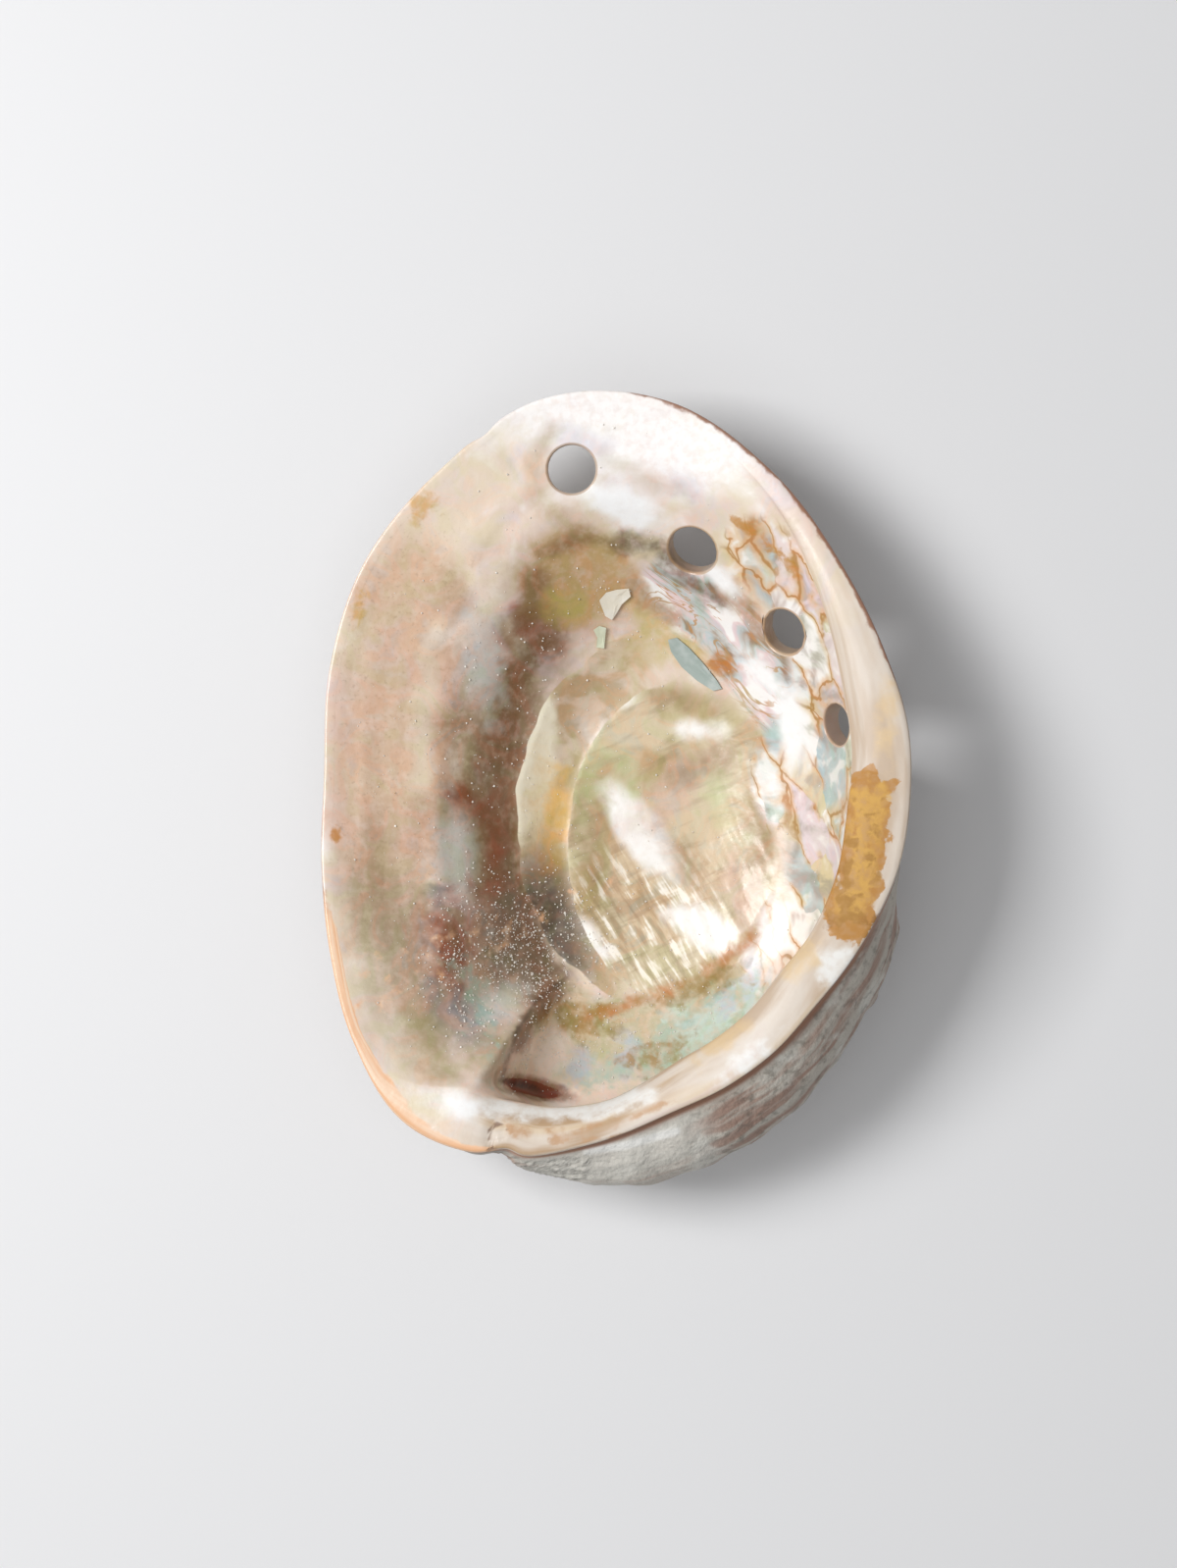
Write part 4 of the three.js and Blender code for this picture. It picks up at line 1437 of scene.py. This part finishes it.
@dataclass
class ShellFinish:
    """The shell's material: the nacre of the hollow, the lip's edge and the crust outside, by vertex masks."""

    nacre: Nacre = Nacre()
    scar: MuscleScar = MuscleScar()
    patchwork: Patchwork = Patchwork()
    crust: Crust = Crust()
    lip: LipEdge = LipEdge()
    finish: Finish = field(init=False)

    def build(self) -> bpy.types.Material:
        """Returns the material, with its layers in the order in which they lie."""
        parts = (self.nacre, self.scar, self.patchwork, self.crust, self.lip)
        drifts = [value for part in parts for value in vars(part).values() if isinstance(value, Drift)]
        names = (*KEPT, *(tint.name for tint in TINTS))
        finish = self.finish = Finish("nacre_and_crust", names, (*drifts, *(tint.wander for tint in TINTS)))
        kept = finish.kept
        colour = self.swirls(self.tinted(self.pearl(), VALLEY_TINTS))
        band = self.tinted(
            finish.laid(self.scar.band, finish.noise[self.scar.band_drift], ((0.4, 0.6), (0.58, 0.8))), BAND_TINTS
        )
        colour = finish.lay(colour, band, kept["pad_outer"], -0.12, 0.12, 0.92, kept["pad_shows"])
        colour = finish.lay(colour, self.tinted(self.ribbed_pad(), PAD_TINTS), kept["pad_inner"], -0.12, 0.12)
        colour = self.tinted(self.sheets(colour), TOP_TINTS)
        colour = self.play_of_colour(colour)
        fine = finish.noise[self.nacre.fine]
        colour = finish.lay(colour, self.nacre.speckle, fine, 0.58, 0.72, 0.22, kept["speckled"])
        # Painted shade: the holes' bores are darkened towards umber.
        colour = finish.lay(colour, self.lip.umber, kept["bore"], 0, 1, 0.6)
        colour = finish.lay(colour, self.shelf_streaks(), kept["shelf"])
        colour = self.lip_line(colour)
        colour = finish.lay(colour, self.outside_crust(), kept["outside"])
        add = finish.nodes.add
        dull = kept["outside"]
        for name, low, high, top in DULL_MARKS:
            share = add("MapRange", {"Value": kept[name], "From Min": low, "From Max": high, "To Max": top}, SMOOTH)
            dull = add("Math", {0: dull, 1: share}, GREATER)
        uneven = add("Math", {0: fine, 1: 0.16, 2: self.nacre.roughness - 0.06}, TIMES_PLUS)
        rough = add("Mix", {0: dull, 2: uneven, 3: self.crust.roughness}, NUMBERS)
        coat = add("Mix", {0: dull, 2: self.nacre.coat, 3: 0.0}, NUMBERS)
        finish.dress(Base_Color=colour, Roughness=rough, Coat_Weight=coat, Normal=self.fine_relief())
        finish.dress(Coat_Roughness=self.nacre.coat_roughness, Specular_IOR_Level=self.nacre.gloss)
        return finish.material

    def tinted(self, below: Socket, tints: tuple[Tint, ...]) -> Socket:
        """Returns a colour with tints laid over it, each with wandering edges and a mottled strength."""
        finish, add = self.finish, self.finish.nodes.add
        mottle = add("MapRange", {"Value": finish.noise[self.nacre.mottle], "From Min": 0.3, "From Max": 0.6}, SMOOTH)
        colour = below
        for tint in tints:
            wander = add("Math", {0: finish.noise[tint.wander], 1: 0.5}, LESS)
            depth = add("Math", {0: wander, 1: 4 * tint.wobble, 2: finish.kept[tint.name]}, TIMES_PLUS)
            held = add("Math", {0: mottle, 1: tint.mottled, 2: 1 - tint.mottled}, TIMES_PLUS)
            colour = finish.lay(colour, tint.colour, depth, -tint.soft / 2, tint.soft / 2, tint.strength, held)
        return colour

    def play_of_colour(self, below: Socket) -> Socket:
        """Returns a colour with the faint rose, green and blue of thin layers of nacre over it."""
        hue = self.finish.laid(
            self.nacre.hues, self.finish.noise[self.nacre.hue_drift], ((0.38, 0.48), (0.5, 0.56), (0.58, 0.68))
        )
        return self.finish.nodes.add("Mix", {0: 0.4, 6: below, 7: hue}, SOFT_LIGHT, 2)

    def swirls(self, below: Socket) -> Socket:
        """Returns a colour with bright drawn-out swirls of white, teal and rose nacre over it."""
        finish, add = self.finish, self.finish.nodes.add
        drawn = add(
            "Mapping",
            {"Vector": finish.place, "Rotation": (0, 0, math.radians(-40)), "Scale": (15 * MM, 5 * MM, 8 * MM)},
            PLACED,
        )
        swirl = add("TexNoise", {"Vector": drawn, "Scale": 1.0, "Detail": 4, "Distortion": 1.2})
        colour = finish.laid(self.nacre.swirl, swirl, ((0.34, 0.46), (0.44, 0.52), (0.5, 0.58)))
        vein = add("TexNoise", {"Vector": drawn, "Scale": 0.8, "Detail": 3, "Distortion": 2.0})
        off = add("Math", {0: add("Math", {0: vein, 1: 0.5}, LESS)}, SIZE)
        colour = finish.lay(colour, self.nacre.vein, off, 0.022, 0.006, 0.8)
        depth = add("Math", {0: finish.noise[self.nacre.swirl_edge], 1: 6, 2: finish.kept["swirled"]}, TIMES_PLUS)
        return finish.lay(below, colour, depth, 1.5, 4.5, 0.85)

    def pearl(self) -> Socket:
        """Returns the nacre's soft drift between cream, pink, white and lilac."""
        finish = self.finish
        colour = finish.lay(self.nacre.cream, self.nacre.pink, finish.noise[self.nacre.broad], 0.35, 0.65)
        narrow = finish.noise[self.nacre.narrow]
        colour = finish.lay(colour, self.nacre.white, narrow, 0.5, 0.75, 0.6)
        return finish.lay(colour, self.nacre.lilac, narrow, 0.48, 0.3, 0.5)

    def ribbed_pad(self) -> Socket:
        """Returns the muscle scar's colour: gold-grey with paler and darker ripples, strongest on its lower part."""
        finish, scar, add = self.finish, self.scar, self.finish.nodes.add
        ripple, cross = (
            add(
                "TexNoise",
                {
                    "Vector": add(
                        "Mapping",
                        {
                            "Vector": finish.place,
                            "Rotation": (0, 0, math.radians(turn)),
                            "Scale": (long * MM, wide * MM, 6 * MM),
                        },
                        PLACED,
                    ),
                    "Scale": 1.0,
                    "Detail": 2,
                    "Distortion": warp,
                },
            )
            for turn, long, wide, warp in (
                (-58, scar.ripple_length, scar.ripple, 0.2),
                (24, scar.cross_length, scar.cross_ripple, 0.3),
            )
        )
        low = finish.kept["rippled"]
        pad = finish.lay(scar.gold, scar.pale, finish.noise[scar.pad_drift], 0.36, 0.62)
        pad = finish.lay(pad, scar.shade, cross, 0.5, 0.3, 0.4)
        pad = finish.lay(pad, scar.shade, ripple, 0.5, 0.34, 0.45, low)
        shine = add("Math", {0: cross, 1: 0.3, 2: ripple}, TIMES_PLUS)
        return finish.lay(pad, scar.shine, shine, 0.68, 0.82, 0.95, low)

    def sheets(self, below: Socket) -> Socket:
        """Returns the colour with overlapping sheets of nacre over it, and glue in the gaps between them."""
        finish, work, add = self.finish, self.patchwork, self.finish.nodes.add
        bend = {"Vector": finish.place, "Scale": per_metre(work.bend.size), "Detail": work.bend.detail}
        warp = add("TexNoise", bend, None, "Color")
        shift = add("VectorMath", {0: warp, 1: (0.0055, 0.0055, 0.003), 2: finish.place}, TIMES_PLUS)
        turned = {"Vector": shift, "Rotation": (0, 0, math.radians(-66)), "Scale": (2.2, 0.75, 1.4)}
        drawn = add("Mapping", turned, PLACED)
        cells = {"Vector": drawn, "Scale": per_metre(work.cell)}
        gap = add("TexVoronoi", cells, {"feature": "DISTANCE_TO_EDGE"}, "Distance")
        tone = add("TexVoronoi", cells, {"feature": "F1"}, "Color")
        red, green, blue = (add("SeparateColor", {"Color": tone}, None, k) for k in range(3))
        sheet = finish.lay(work.white, work.teal, red, 0.35, 0.85)
        sheet = finish.lay(sheet, work.rose, green, 0.55, 0.9, 0.9)
        sheet = finish.lay(sheet, work.gold, blue, 0.55, 0.9, 0.9)
        shade = finish.noise[work.shade_drift]
        sheet = finish.lay(sheet, work.grey, shade, 0.52, 0.34, 0.7)
        sheet = finish.lay(sheet, work.white, shade, 0.52, 0.66, 0.7)
        width = work.glue_width / work.cell
        shows = add("MapRange", {"Value": finish.noise[work.glue_drift], "From Min": 0.38, "From Max": 0.5}, SMOOTH)
        sheet = finish.lay(sheet, work.stain, gap, 9 * width, 0.5 * width, 0.7, shows)
        sheet = finish.lay(sheet, work.glue, gap, 2.0 * width, 0.5 * width, 0.9, shows)
        return finish.lay(below, sheet, finish.kept["sheeted"], -1.2, 1.2, 0.95)

    def shelf_streaks(self) -> Socket:
        """Returns the shelf's colour: cream and pinkish white, with faint streaks along it, and its stains."""
        finish, add = self.finish, self.finish.nodes.add
        along = add("Attribute", {}, {"attribute_name": "rim_place"}, "Vector")
        streak = add("TexNoise", {"Vector": along, "Scale": 1.0, "Detail": 3, "Distortion": 0.2})
        patch = add("TexNoise", {"Vector": along, "Scale": 0.35, "Detail": 4, "Distortion": 0.6})
        colour = finish.lay(self.lip.tan, self.lip.cream, streak, 0.35, 0.6)
        colour = finish.lay(colour, self.lip.sand, patch, 0.5, 0.62, 0.6)
        colour = finish.lay(colour, self.lip.rose, streak, 0.58, 0.72, 0.5)
        colour = finish.lay(colour, self.lip.umber, streak, 0.5, 0.36, 0.75, finish.kept["streaked"])
        return self.tinted(colour, SHELF_TINTS)

    def lip_line(self, below: Socket) -> Socket:
        """Returns the colour with the lip's edge over it: orange along the low left, reddish brown elsewhere."""
        finish, add = self.finish, self.finish.nodes.add
        along = add("Attribute", {}, {"attribute_name": "rim_place"}, "Vector")
        streak = add("TexNoise", {"Vector": along, "Scale": 2.0, "Detail": 3})
        orange = finish.lay(self.lip.orange, self.lip.pale_orange, streak, 0.4, 0.65, 0.8)
        tone = finish.lay(self.lip.brown, orange, finish.kept["orange_lip"])
        ragged = add("Math", {0: finish.noise[self.lip.ragged], 1: 1.2, 2: finish.kept["edge"]}, TIMES_PLUS)
        return finish.lay(below, tone, ragged, 0.48, 0.82, 0.92)

    def outside_crust(self) -> Socket:
        """Returns the outside's colour: growth lines, or cords by the inner lip, of brick red, chalky growths, and a
        painted highlight streak along the rim's lower edge.
        """
        finish, crust, add = self.finish, self.crust, self.finish.nodes.add
        growth, cords = (
            add(
                "TexNoise",
                {
                    "Vector": add("Attribute", {}, {"attribute_name": name}, "Vector"),
                    "Scale": 1.0,
                    "Detail": 5,
                    "Distortion": 0.4,
                },
            )
            for name in ("growth_place", "cord_place")
        )
        lines = add("Mix", {0: finish.kept["corded"], 2: growth, 3: cords}, NUMBERS)
        colour = finish.lay(crust.taupe, crust.brick, lines, 0.42, 0.62, 0.8)
        colour = finish.lay(colour, crust.chalk, finish.noise[crust.patches], 0.5, 0.62, 0.7)
        colour = finish.lay(colour, crust.grime, finish.noise[crust.grit], 0.5, 0.7, 0.5)
        colour = finish.lay(colour, crust.bared, finish.kept["worn_through"])
        # Painted highlight: a white streak along the rim's lower edge.
        return finish.lay(colour, crust.glint_white, finish.kept["glint"], 0, 1, 0.7)

    def fine_relief(self) -> Socket:
        """Returns the fine relief: a satin unevenness inside and grit outside, as heights in mm."""
        finish, add = self.finish, self.finish.nodes.add
        satin = add("Math", {0: finish.noise[self.nacre.satin], 1: 0.22}, TIMES)
        grain = add("Math", {0: finish.noise[self.crust.grain], 1: 0.7}, TIMES)
        height = add("Mix", {0: finish.kept["outside"], 2: satin, 3: grain}, NUMBERS)
        return add("Bump", {"Strength": 0.6, "Distance": MM, "Height": height})


# ---------------------------------------------------------------- masks


# A depth, in mm, well outside every mark.
FAR_OFF = -9.0


@dataclass
class Masks:
    """Numbers kept at each vertex, which tell the material where it is on the shell."""

    mesh: ShellMesh
    sight: Sight = Sight()
    patchwork_marks: tuple[Mark, ...] = (
        Trail(((770, 560), (815, 600), (838, 660), (842, 740), (838, 820), (825, 900), (790, 985)), 34),
        Oval(805, 790, 38, 60, 0),
    )
    swirled_marks: tuple[Mark, ...] = (Trail(((690, 600), (745, 640), (785, 690), (812, 760), (815, 850)), 34),)
    speckled_marks: tuple[Mark, ...] = (Oval(420, 760, 95, 260), Oval(560, 940, 90, 120))
    rippled_mark: Mark = Oval(665, 945, 95, 75, 0)
    buried_pad: Mark = Oval(720, 660, 150, 60, 30)
    silvery_mark: Mark = Trail(((560, 1190), (620, 1185), (690, 1160)), 26)
    # Painted highlight: where the white glint streak runs along the rim's lower edge.
    glint_line: Mark = Trail(((598, 1173), (640, 1167), (690, 1153)), 4)
    pad_edge: float = 0.985
    orange_part: Stretch = Stretch((-182, -160), (-122.5, -119.5))
    orange_end: tuple[float, float] = (-147, -132)
    wide_part: Stretch = Stretch((25, 45), (85, 102))
    narrow_part: Stretch = Stretch((88, 106), (150, 178))
    line_width: float = 0.55
    orange_width: float = 1.5
    orange_end_width: float = 2.0
    wide_share: float = 0.25
    narrowed_by: float = 0.6

    def lip_line(self, angle: Array) -> tuple[Array, Array]:
        """The coloured line along the rim's outer edge.

        Args:
            angle: directions, in degrees.

        Returns:
            Its width in mm, which is a share of the shelf's where it is wide, and how far it is orange, 0 to 1.
        """
        turn = signed_turn(angle)
        round_left = np.where(turn > 0, turn - 360, turn)
        orange = self.orange_part.share(round_left)
        width = self.line_width + self.orange_width * orange
        width += self.orange_end_width * orange * ramp(*self.orange_end, round_left)
        width += self.wide_share * self.mesh.form.shelf(angle) * self.wide_part.share(turn)
        return width - self.narrowed_by * self.narrow_part.share(turn), orange

    def values(self) -> dict[str, Array]:
        """Returns the masks by name. Depths are in mm, and the rest go from 0 to 1."""
        mesh, form = self.mesh, self.mesh.form
        points, angle, part = mesh.points, mesh.angle, mesh.part
        column, row = self.sight.pixels(points)
        hollow = mesh.side == Side.HOLLOW.value
        outside = mesh.side == Side.OUTSIDE.value
        across = np.clip((part - form.wall_part) / (1 - form.wall_part), 0, 1)
        on_wall, on_shelf = hollow & (across <= 0), hollow & (across > 0)
        result = {tint.name: np.where(outside, FAR_OFF, deepest(tint.marks, column, row)) for tint in TINTS}
        for tint in SHELF_TINTS:
            result[tint.name] = np.where(on_shelf, result[tint.name], FAR_OFF)
        depths = form.scar_depths(points[:, 0], points[:, 1])
        for name, depth, step in zip(("pad_outer", "pad_inner"), depths, form.scar_steps):
            crisp = mix(0.05, 1, ramp(0.1, -0.45, (points[:, 0] - step.x) / step.half_width))
            result[name] = np.where(on_wall, (self.pad_edge - depth) * step.half_width * crisp, FAR_OFF)
        for name, marks in (("sheeted", self.patchwork_marks), ("swirled", self.swirled_marks)):
            result[name] = np.where(on_wall, deepest(marks, column, row), FAR_OFF)
        result["speckled"] = np.where(hollow, ramp(-4, 4, deepest(self.speckled_marks, column, row)), 0)
        result["shelf"] = np.where(hollow, form.inside_lip(angle) * ramp(0.1, 0.22, across), 0)
        result["streaked"] = mix(0.25, 1, ramp(-75, -100, signed_turn(angle)))
        width, orange = self.lip_line(angle)
        result["edge"] = np.where(outside, -FAR_OFF, width - (1 - across) * form.shelf(angle))
        result["orange_lip"] = np.clip(orange * 1.6, 0, 1)
        result["rippled"] = ramp(-6, 6, self.rippled_mark.depth(column, row))
        result["pad_shows"] = 1 - 0.9 * ramp(-2, 6, self.buried_pad.depth(column, row))
        result["outside"] = np.where(outside, 1 - ramp(0.975, 0.995, part), 0)
        result["corded"] = form.outside_lip(angle) * ramp(0.35, 0.75, part)
        # Painted shade: the bore mask marks the holes' walls, which the material darkens.
        result["bore"] = np.where(mesh.side == Side.BORE.value, 1, 0)
        radius = mesh.growth.about_spire(points)[1]
        silvery = self.silvery_mark.depth(column, row)
        result["worn_through"] = np.where(outside, np.maximum(0.7 * ramp(9, 4, radius), 0.8 * ramp(-7, 5, silvery)), 0)
        result["glint"] = np.where(outside, ramp(-0.6, 0.6, self.glint_line.depth(column, row)), 0)
        return result

    def places(self) -> dict[str, Array]:
        """Returns the vectors by name: across and along the rim, the cords outside, and the growth lines."""
        mesh = self.mesh
        across = (mesh.part - mesh.form.wall_part) / (1 - mesh.form.wall_part)
        about, radius = mesh.growth.about_spire(mesh.points)
        return {
            "rim_place": wound(5 * across, mesh.angle, 1.6),
            "cord_place": wound(26 * mesh.part, mesh.angle, 2.2),
            "growth_place": wound(11 * mesh.growth.age(about, radius), about, 1.5),
        }

    def store(self, mesh: bpy.types.Mesh) -> None:
        """Writes the masks and vectors to a mesh."""
        for name, value in self.values().items():
            mesh.attributes.new(name, "FLOAT", "POINT").data.foreach_set("value", value.astype(np.float32))
        for name, value in self.places().items():
            kept = mesh.attributes.new(name, "FLOAT_VECTOR", "POINT")
            kept.data.foreach_set("vector", value.astype(np.float32).ravel())


# ---------------------------------------------------------------- loose pieces


@dataclass(frozen=True)
class Flake:
    """A thin chip of nacre: its outline in the photograph's pixels, and how its ends stand off, in mm."""

    outline: tuple[tuple[float, float], ...]
    lift: float = 0.35
    thickness: float = 0.25


@dataclass
class NacreFlakes:
    """Chips that have come loose from the hollow's wall, where the layers split. They still cling to it."""

    mesh: ShellMesh
    sight: Sight = Sight()
    flakes: tuple[Flake, ...] = (
        Flake((
            (611, 612), (618, 604), (629, 601), (641, 600), (643, 608), (634, 616), (628, 626), (624, 632), (617, 628),
            (614, 620),
        )),
        Flake(((605, 642), (611, 638), (618, 640), (617, 650), (616, 661), (608, 660), (609, 650))),
        Flake((
            (681, 652), (690, 650), (702, 660), (716, 675), (731, 694), (736, 702), (727, 704), (711, 694), (695, 680),
            (684, 664),
        ), 0.2),
    )  # fmt: skip
    tones: tuple[str, ...] = ("f1ead9", "dfe4c9", "a3b0aa")
    neighbours: int = 4

    def surface(self, places: Array) -> Array:
        """Points of the hollow that are seen at places in the photograph.

        Args:
            places: columns and rows.

        Returns:
            Points on each line of sight, at the mean height of the nearest vertices, the nearer the weightier.
        """
        sight, shell = self.sight, self.mesh
        points = shell.points[(shell.side == Side.HOLLOW.value) & (shell.part < shell.form.wall_part)]
        away = np.linalg.norm(places[:, None] - np.stack(sight.pixels(points), axis=-1), axis=-1)
        near = np.argsort(away, axis=1)[:, : self.neighbours]
        weight = 1 / (np.take_along_axis(away, near, axis=1) + 0.1)
        height = np.sum(points[near, 2] * weight, axis=1) / np.sum(weight, axis=1)
        depth = (sight.camera_height - height) / sight.focal_length
        x = sight.camera_x + (places[:, 0] - sight.middle_x) * depth
        y = sight.camera_y - (places[:, 1] - sight.middle_y) * depth
        return np.stack((x, y, height), axis=-1)

    def build(self) -> bpy.types.Object:
        """Returns the chips as one object: for each a top and a bottom fan, joined round the edge."""
        points, faces, tones, first = [], [], [], 0
        for number, flake in enumerate(self.flakes):
            outline = np.array(flake.outline, float)
            middle = outline.mean(axis=0)
            low = self.surface(np.concatenate((middle[None], mix(middle, outline, 0.5), outline)))
            low = low + np.array([0, 0, flake.lift])
            k = np.arange(len(outline))
            m = np.roll(k, -1)
            # A fan's vertices are its middle, then the inner ring, then the edge.
            inner, edge = 1, 1 + len(k)
            top, under, first = first, first + len(low), first + 2 * len(low)
            points += [low + np.array([0, 0, flake.thickness]), low]
            tones += [number] * 2 * len(low)
            for corners in (
                (top + 0 * k, top + inner + m, top + inner + k),
                (top + inner + k, top + inner + m, top + edge + m, top + edge + k),
                (under + 0 * k, under + inner + k, under + inner + m),
                (under + inner + m, under + inner + k, under + edge + k, under + edge + m),
                (top + edge + k, top + edge + m, under + edge + m, under + edge + k),
            ):
                faces += np.stack(corners, axis=-1).tolist()
        piece = piece_of("nacre_flakes", np.concatenate(points), faces, self.material())
        kept = piece.data.attributes.new("tone", "FLOAT", "POINT")
        kept.data.foreach_set("value", np.array(tones, np.float32))
        return piece

    def material(self) -> bpy.types.Material:
        """Returns the chips' material: pale nacre, each chip in its own tone."""
        sparkle = Drift(4, 2)
        finish = Finish("loose_nacre", ("tone",), (sparkle,))
        colour = finish.laid(self.tones, finish.kept["tone"], ((0.4, 0.6), (1.4, 1.6)))
        colour = finish.lay(colour, "ffffff", finish.noise[sparkle], 0.5, 0.7, 0.25)
        finish.dress(Base_Color=colour, Roughness=0.3)
        return finish.material


@dataclass
class SandDust:
    """Grains of quartz sand, a tenth to a third of a millimetre across, left in the hollow by the sea."""

    mesh: ShellMesh
    count: int = 2600
    smallest: float = 0.08
    largest: float = 0.25
    mostly_small: float = 2.2
    sunk: float = 0.4
    seed: int = 14
    sight: Sight = Sight()
    dense: tuple[Mark, ...] = (Oval(520, 975, 110, 100, -10), Oval(610, 1050, 110, 50, -15))
    scattered: tuple[Mark, ...] = (Oval(560, 800, 200, 300, 0),)
    pale: str = "e9e4dc"
    amber: str = "c9975a"

    def build(self) -> bpy.types.Object:
        """Returns the grains as one object: eight-sided specks, half sunk into the surface at random places."""
        rng = np.random.default_rng(self.seed)
        shell = self.mesh
        quads = shell.quads[np.all(shell.side[shell.quads] == Side.HOLLOW.value, axis=1)]
        corners = shell.points[quads]
        middle = corners.mean(axis=1)
        normal = np.cross(corners[:, 2] - corners[:, 0], corners[:, 3] - corners[:, 1])
        area = np.linalg.norm(normal, axis=1) / 2
        column, row = self.sight.pixels(middle)
        inner = shell.part[quads].max(axis=1) < shell.form.wall_part * 0.97
        weight = 0.025 + 1.6 * ramp(-4, 14, deepest(self.dense, column, row))
        weight += 0.12 * ramp(-5, 20, deepest(self.scattered, column, row))
        weight *= area * inner * (0.35 + ramp(-0.2, 0.5, smooth_noise(middle, 4.0, 3, 3)))
        chosen = rng.choice(len(quads), self.count, p=weight / weight.sum())
        share = rng.random((2, self.count, 1))
        a, b, c, d = (corners[chosen, k] for k in range(4))
        place = mix(mix(a, b, share[0]), mix(d, c, share[0]), share[1])
        up = normal[chosen] / np.linalg.norm(normal[chosen], axis=1, keepdims=True)
        size = mix(self.smallest, self.largest, rng.random(self.count) ** self.mostly_small)[:, None, None]
        compass = np.array([[1, 0, 0], [0, 1, 0], [-1, 0, 0], [0, -1, 0], [0, 0, 1], [0, 0, -1]], float)
        turn = np.linalg.qr(rng.normal(size=(self.count, 3, 3)))[0]
        specks = compass @ turn * size * rng.uniform(0.7, 1.2, (self.count, 6, 1))
        points = (place + up * size[:, 0] * self.sunk)[:, None] + specks
        sides = np.array([[4, 0, 1], [4, 1, 2], [4, 2, 3], [4, 3, 0], [5, 1, 0], [5, 2, 1], [5, 3, 2], [5, 0, 3]])
        mirrored = np.linalg.det(turn) < 0
        faces = np.where(mirrored[:, None, None], sides[:, ::-1], sides) + 6 * np.arange(self.count)[:, None, None]
        return piece_of("sand_dust", points.reshape(-1, 3), faces.reshape(-1, 3).tolist(), self.material())

    def material(self) -> bpy.types.Material:
        """Returns the grains' material: clear to amber quartz."""
        stain = Drift(0.8, 2)
        finish = Finish("quartz_sand", (), (stain,))
        finish.dress(Base_Color=finish.lay(self.pale, self.amber, finish.noise[stain], 0.66, 0.74), Roughness=0.3)
        return finish.material


# ---------------------------------------------------------------- studio


@dataclass
class Studio:
    """Pale floor, soft light from the upper left, and a camera straight above."""

    sight: Sight = Sight()
    lens: float = 85
    sensor: float = 36
    floor_size: float = 4000
    floor_colour: tuple[float, ...] = (0.80, 0.80, 0.81, 1)
    air_colour: tuple[float, ...] = (0.98, 0.99, 1.0, 1)
    air_light: float = 0.26

    def build(self) -> None:
        """Makes the floor, lights and camera."""
        self.floor()
        self.light("key_softbox", (-560, 160, 760), 360, 6.8)
        self.light("fill_softbox", (-150, -250, 1300), 1200, 3.2)
        self.camera()
        world = bpy.data.worlds.new("studio_air")
        world.use_nodes = True
        background = world.node_tree.nodes["Background"]
        background.inputs["Color"].default_value = self.air_colour
        background.inputs["Strength"].default_value = self.air_light
        bpy.context.scene.world = world
        bpy.context.scene.view_settings.view_transform = "Standard"

    def floor(self) -> None:
        """Makes the plain pale floor."""
        material = bpy.data.materials.new("pale_floor")
        material.use_nodes = True
        shader = material.node_tree.nodes["Principled BSDF"]
        shader.inputs["Base Color"].default_value = self.floor_colour
        shader.inputs["Roughness"].default_value = 0.6
        corners = np.array([(-1, -1, 0), (1, -1, 0), (1, 1, 0), (-1, 1, 0)]) * self.floor_size / 2
        floor = piece_of("floor", corners, [(0, 1, 2, 3)], material)

    def light(self, name: str, place: tuple[float, float, float], size: float, watts: float) -> None:
        """Makes a square soft light that faces the shell. Place and size are in mm."""
        lamp = bpy.data.lights.new(name, "AREA")
        lamp.size = size * MM
        lamp.energy = watts
        stand = placed(name, lamp)
        x, y, height = place
        stand.location = np.array(place) * MM
        stand.rotation_euler = (math.atan2(math.hypot(x, y), height), 0, math.atan2(y, x) + math.pi / 2)

    def camera(self) -> None:
        """Makes the camera, straight above, with +Y up in the picture."""
        data = bpy.data.cameras.new("camera")
        data.lens = self.lens
        data.sensor_width = self.sensor
        camera = placed("camera", data)
        camera.location = np.array((self.sight.camera_x, self.sight.camera_y, self.sight.camera_height)) * MM
        bpy.context.scene.camera = camera


def main() -> None:
    """Builds the shell and its surroundings."""
    logging.basicConfig(level=logging.INFO, format="%(name)s: %(message)s")
    form = ShellForm()
    growth = Growth(form)
    holes = (
        BreathingHole(103.5, 0.865, 4.2),
        BreathingHole(85, 0.735, 4.4),
        BreathingHole(62.8, 0.815, 4.1),
        BreathingHole(38.8, 0.93, 3.7, mouth=0.5),
    )
    shell = ShellMesh(form, growth, holes)
    shell.build()
    piece = shell.to_object("abalone_shell")
    Masks(shell).store(piece.data)
    piece.data.materials.append(ShellFinish().build())
    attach(piece, "root")
    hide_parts("shell")
    LOG.info("abalone_shell: %d vertices, %d faces", len(piece.data.vertices), len(piece.data.polygons))
    chips = NacreFlakes(shell).build()
    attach(chips, "root")
    LOG.info("nacre_flakes: %d faces", len(chips.data.polygons))
    grains = SandDust(shell).build()
    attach(grains, "root")
    LOG.info("sand_dust: %d faces", len(grains.data.polygons))
    Studio().build()


if __name__ == "__main__":
    main()
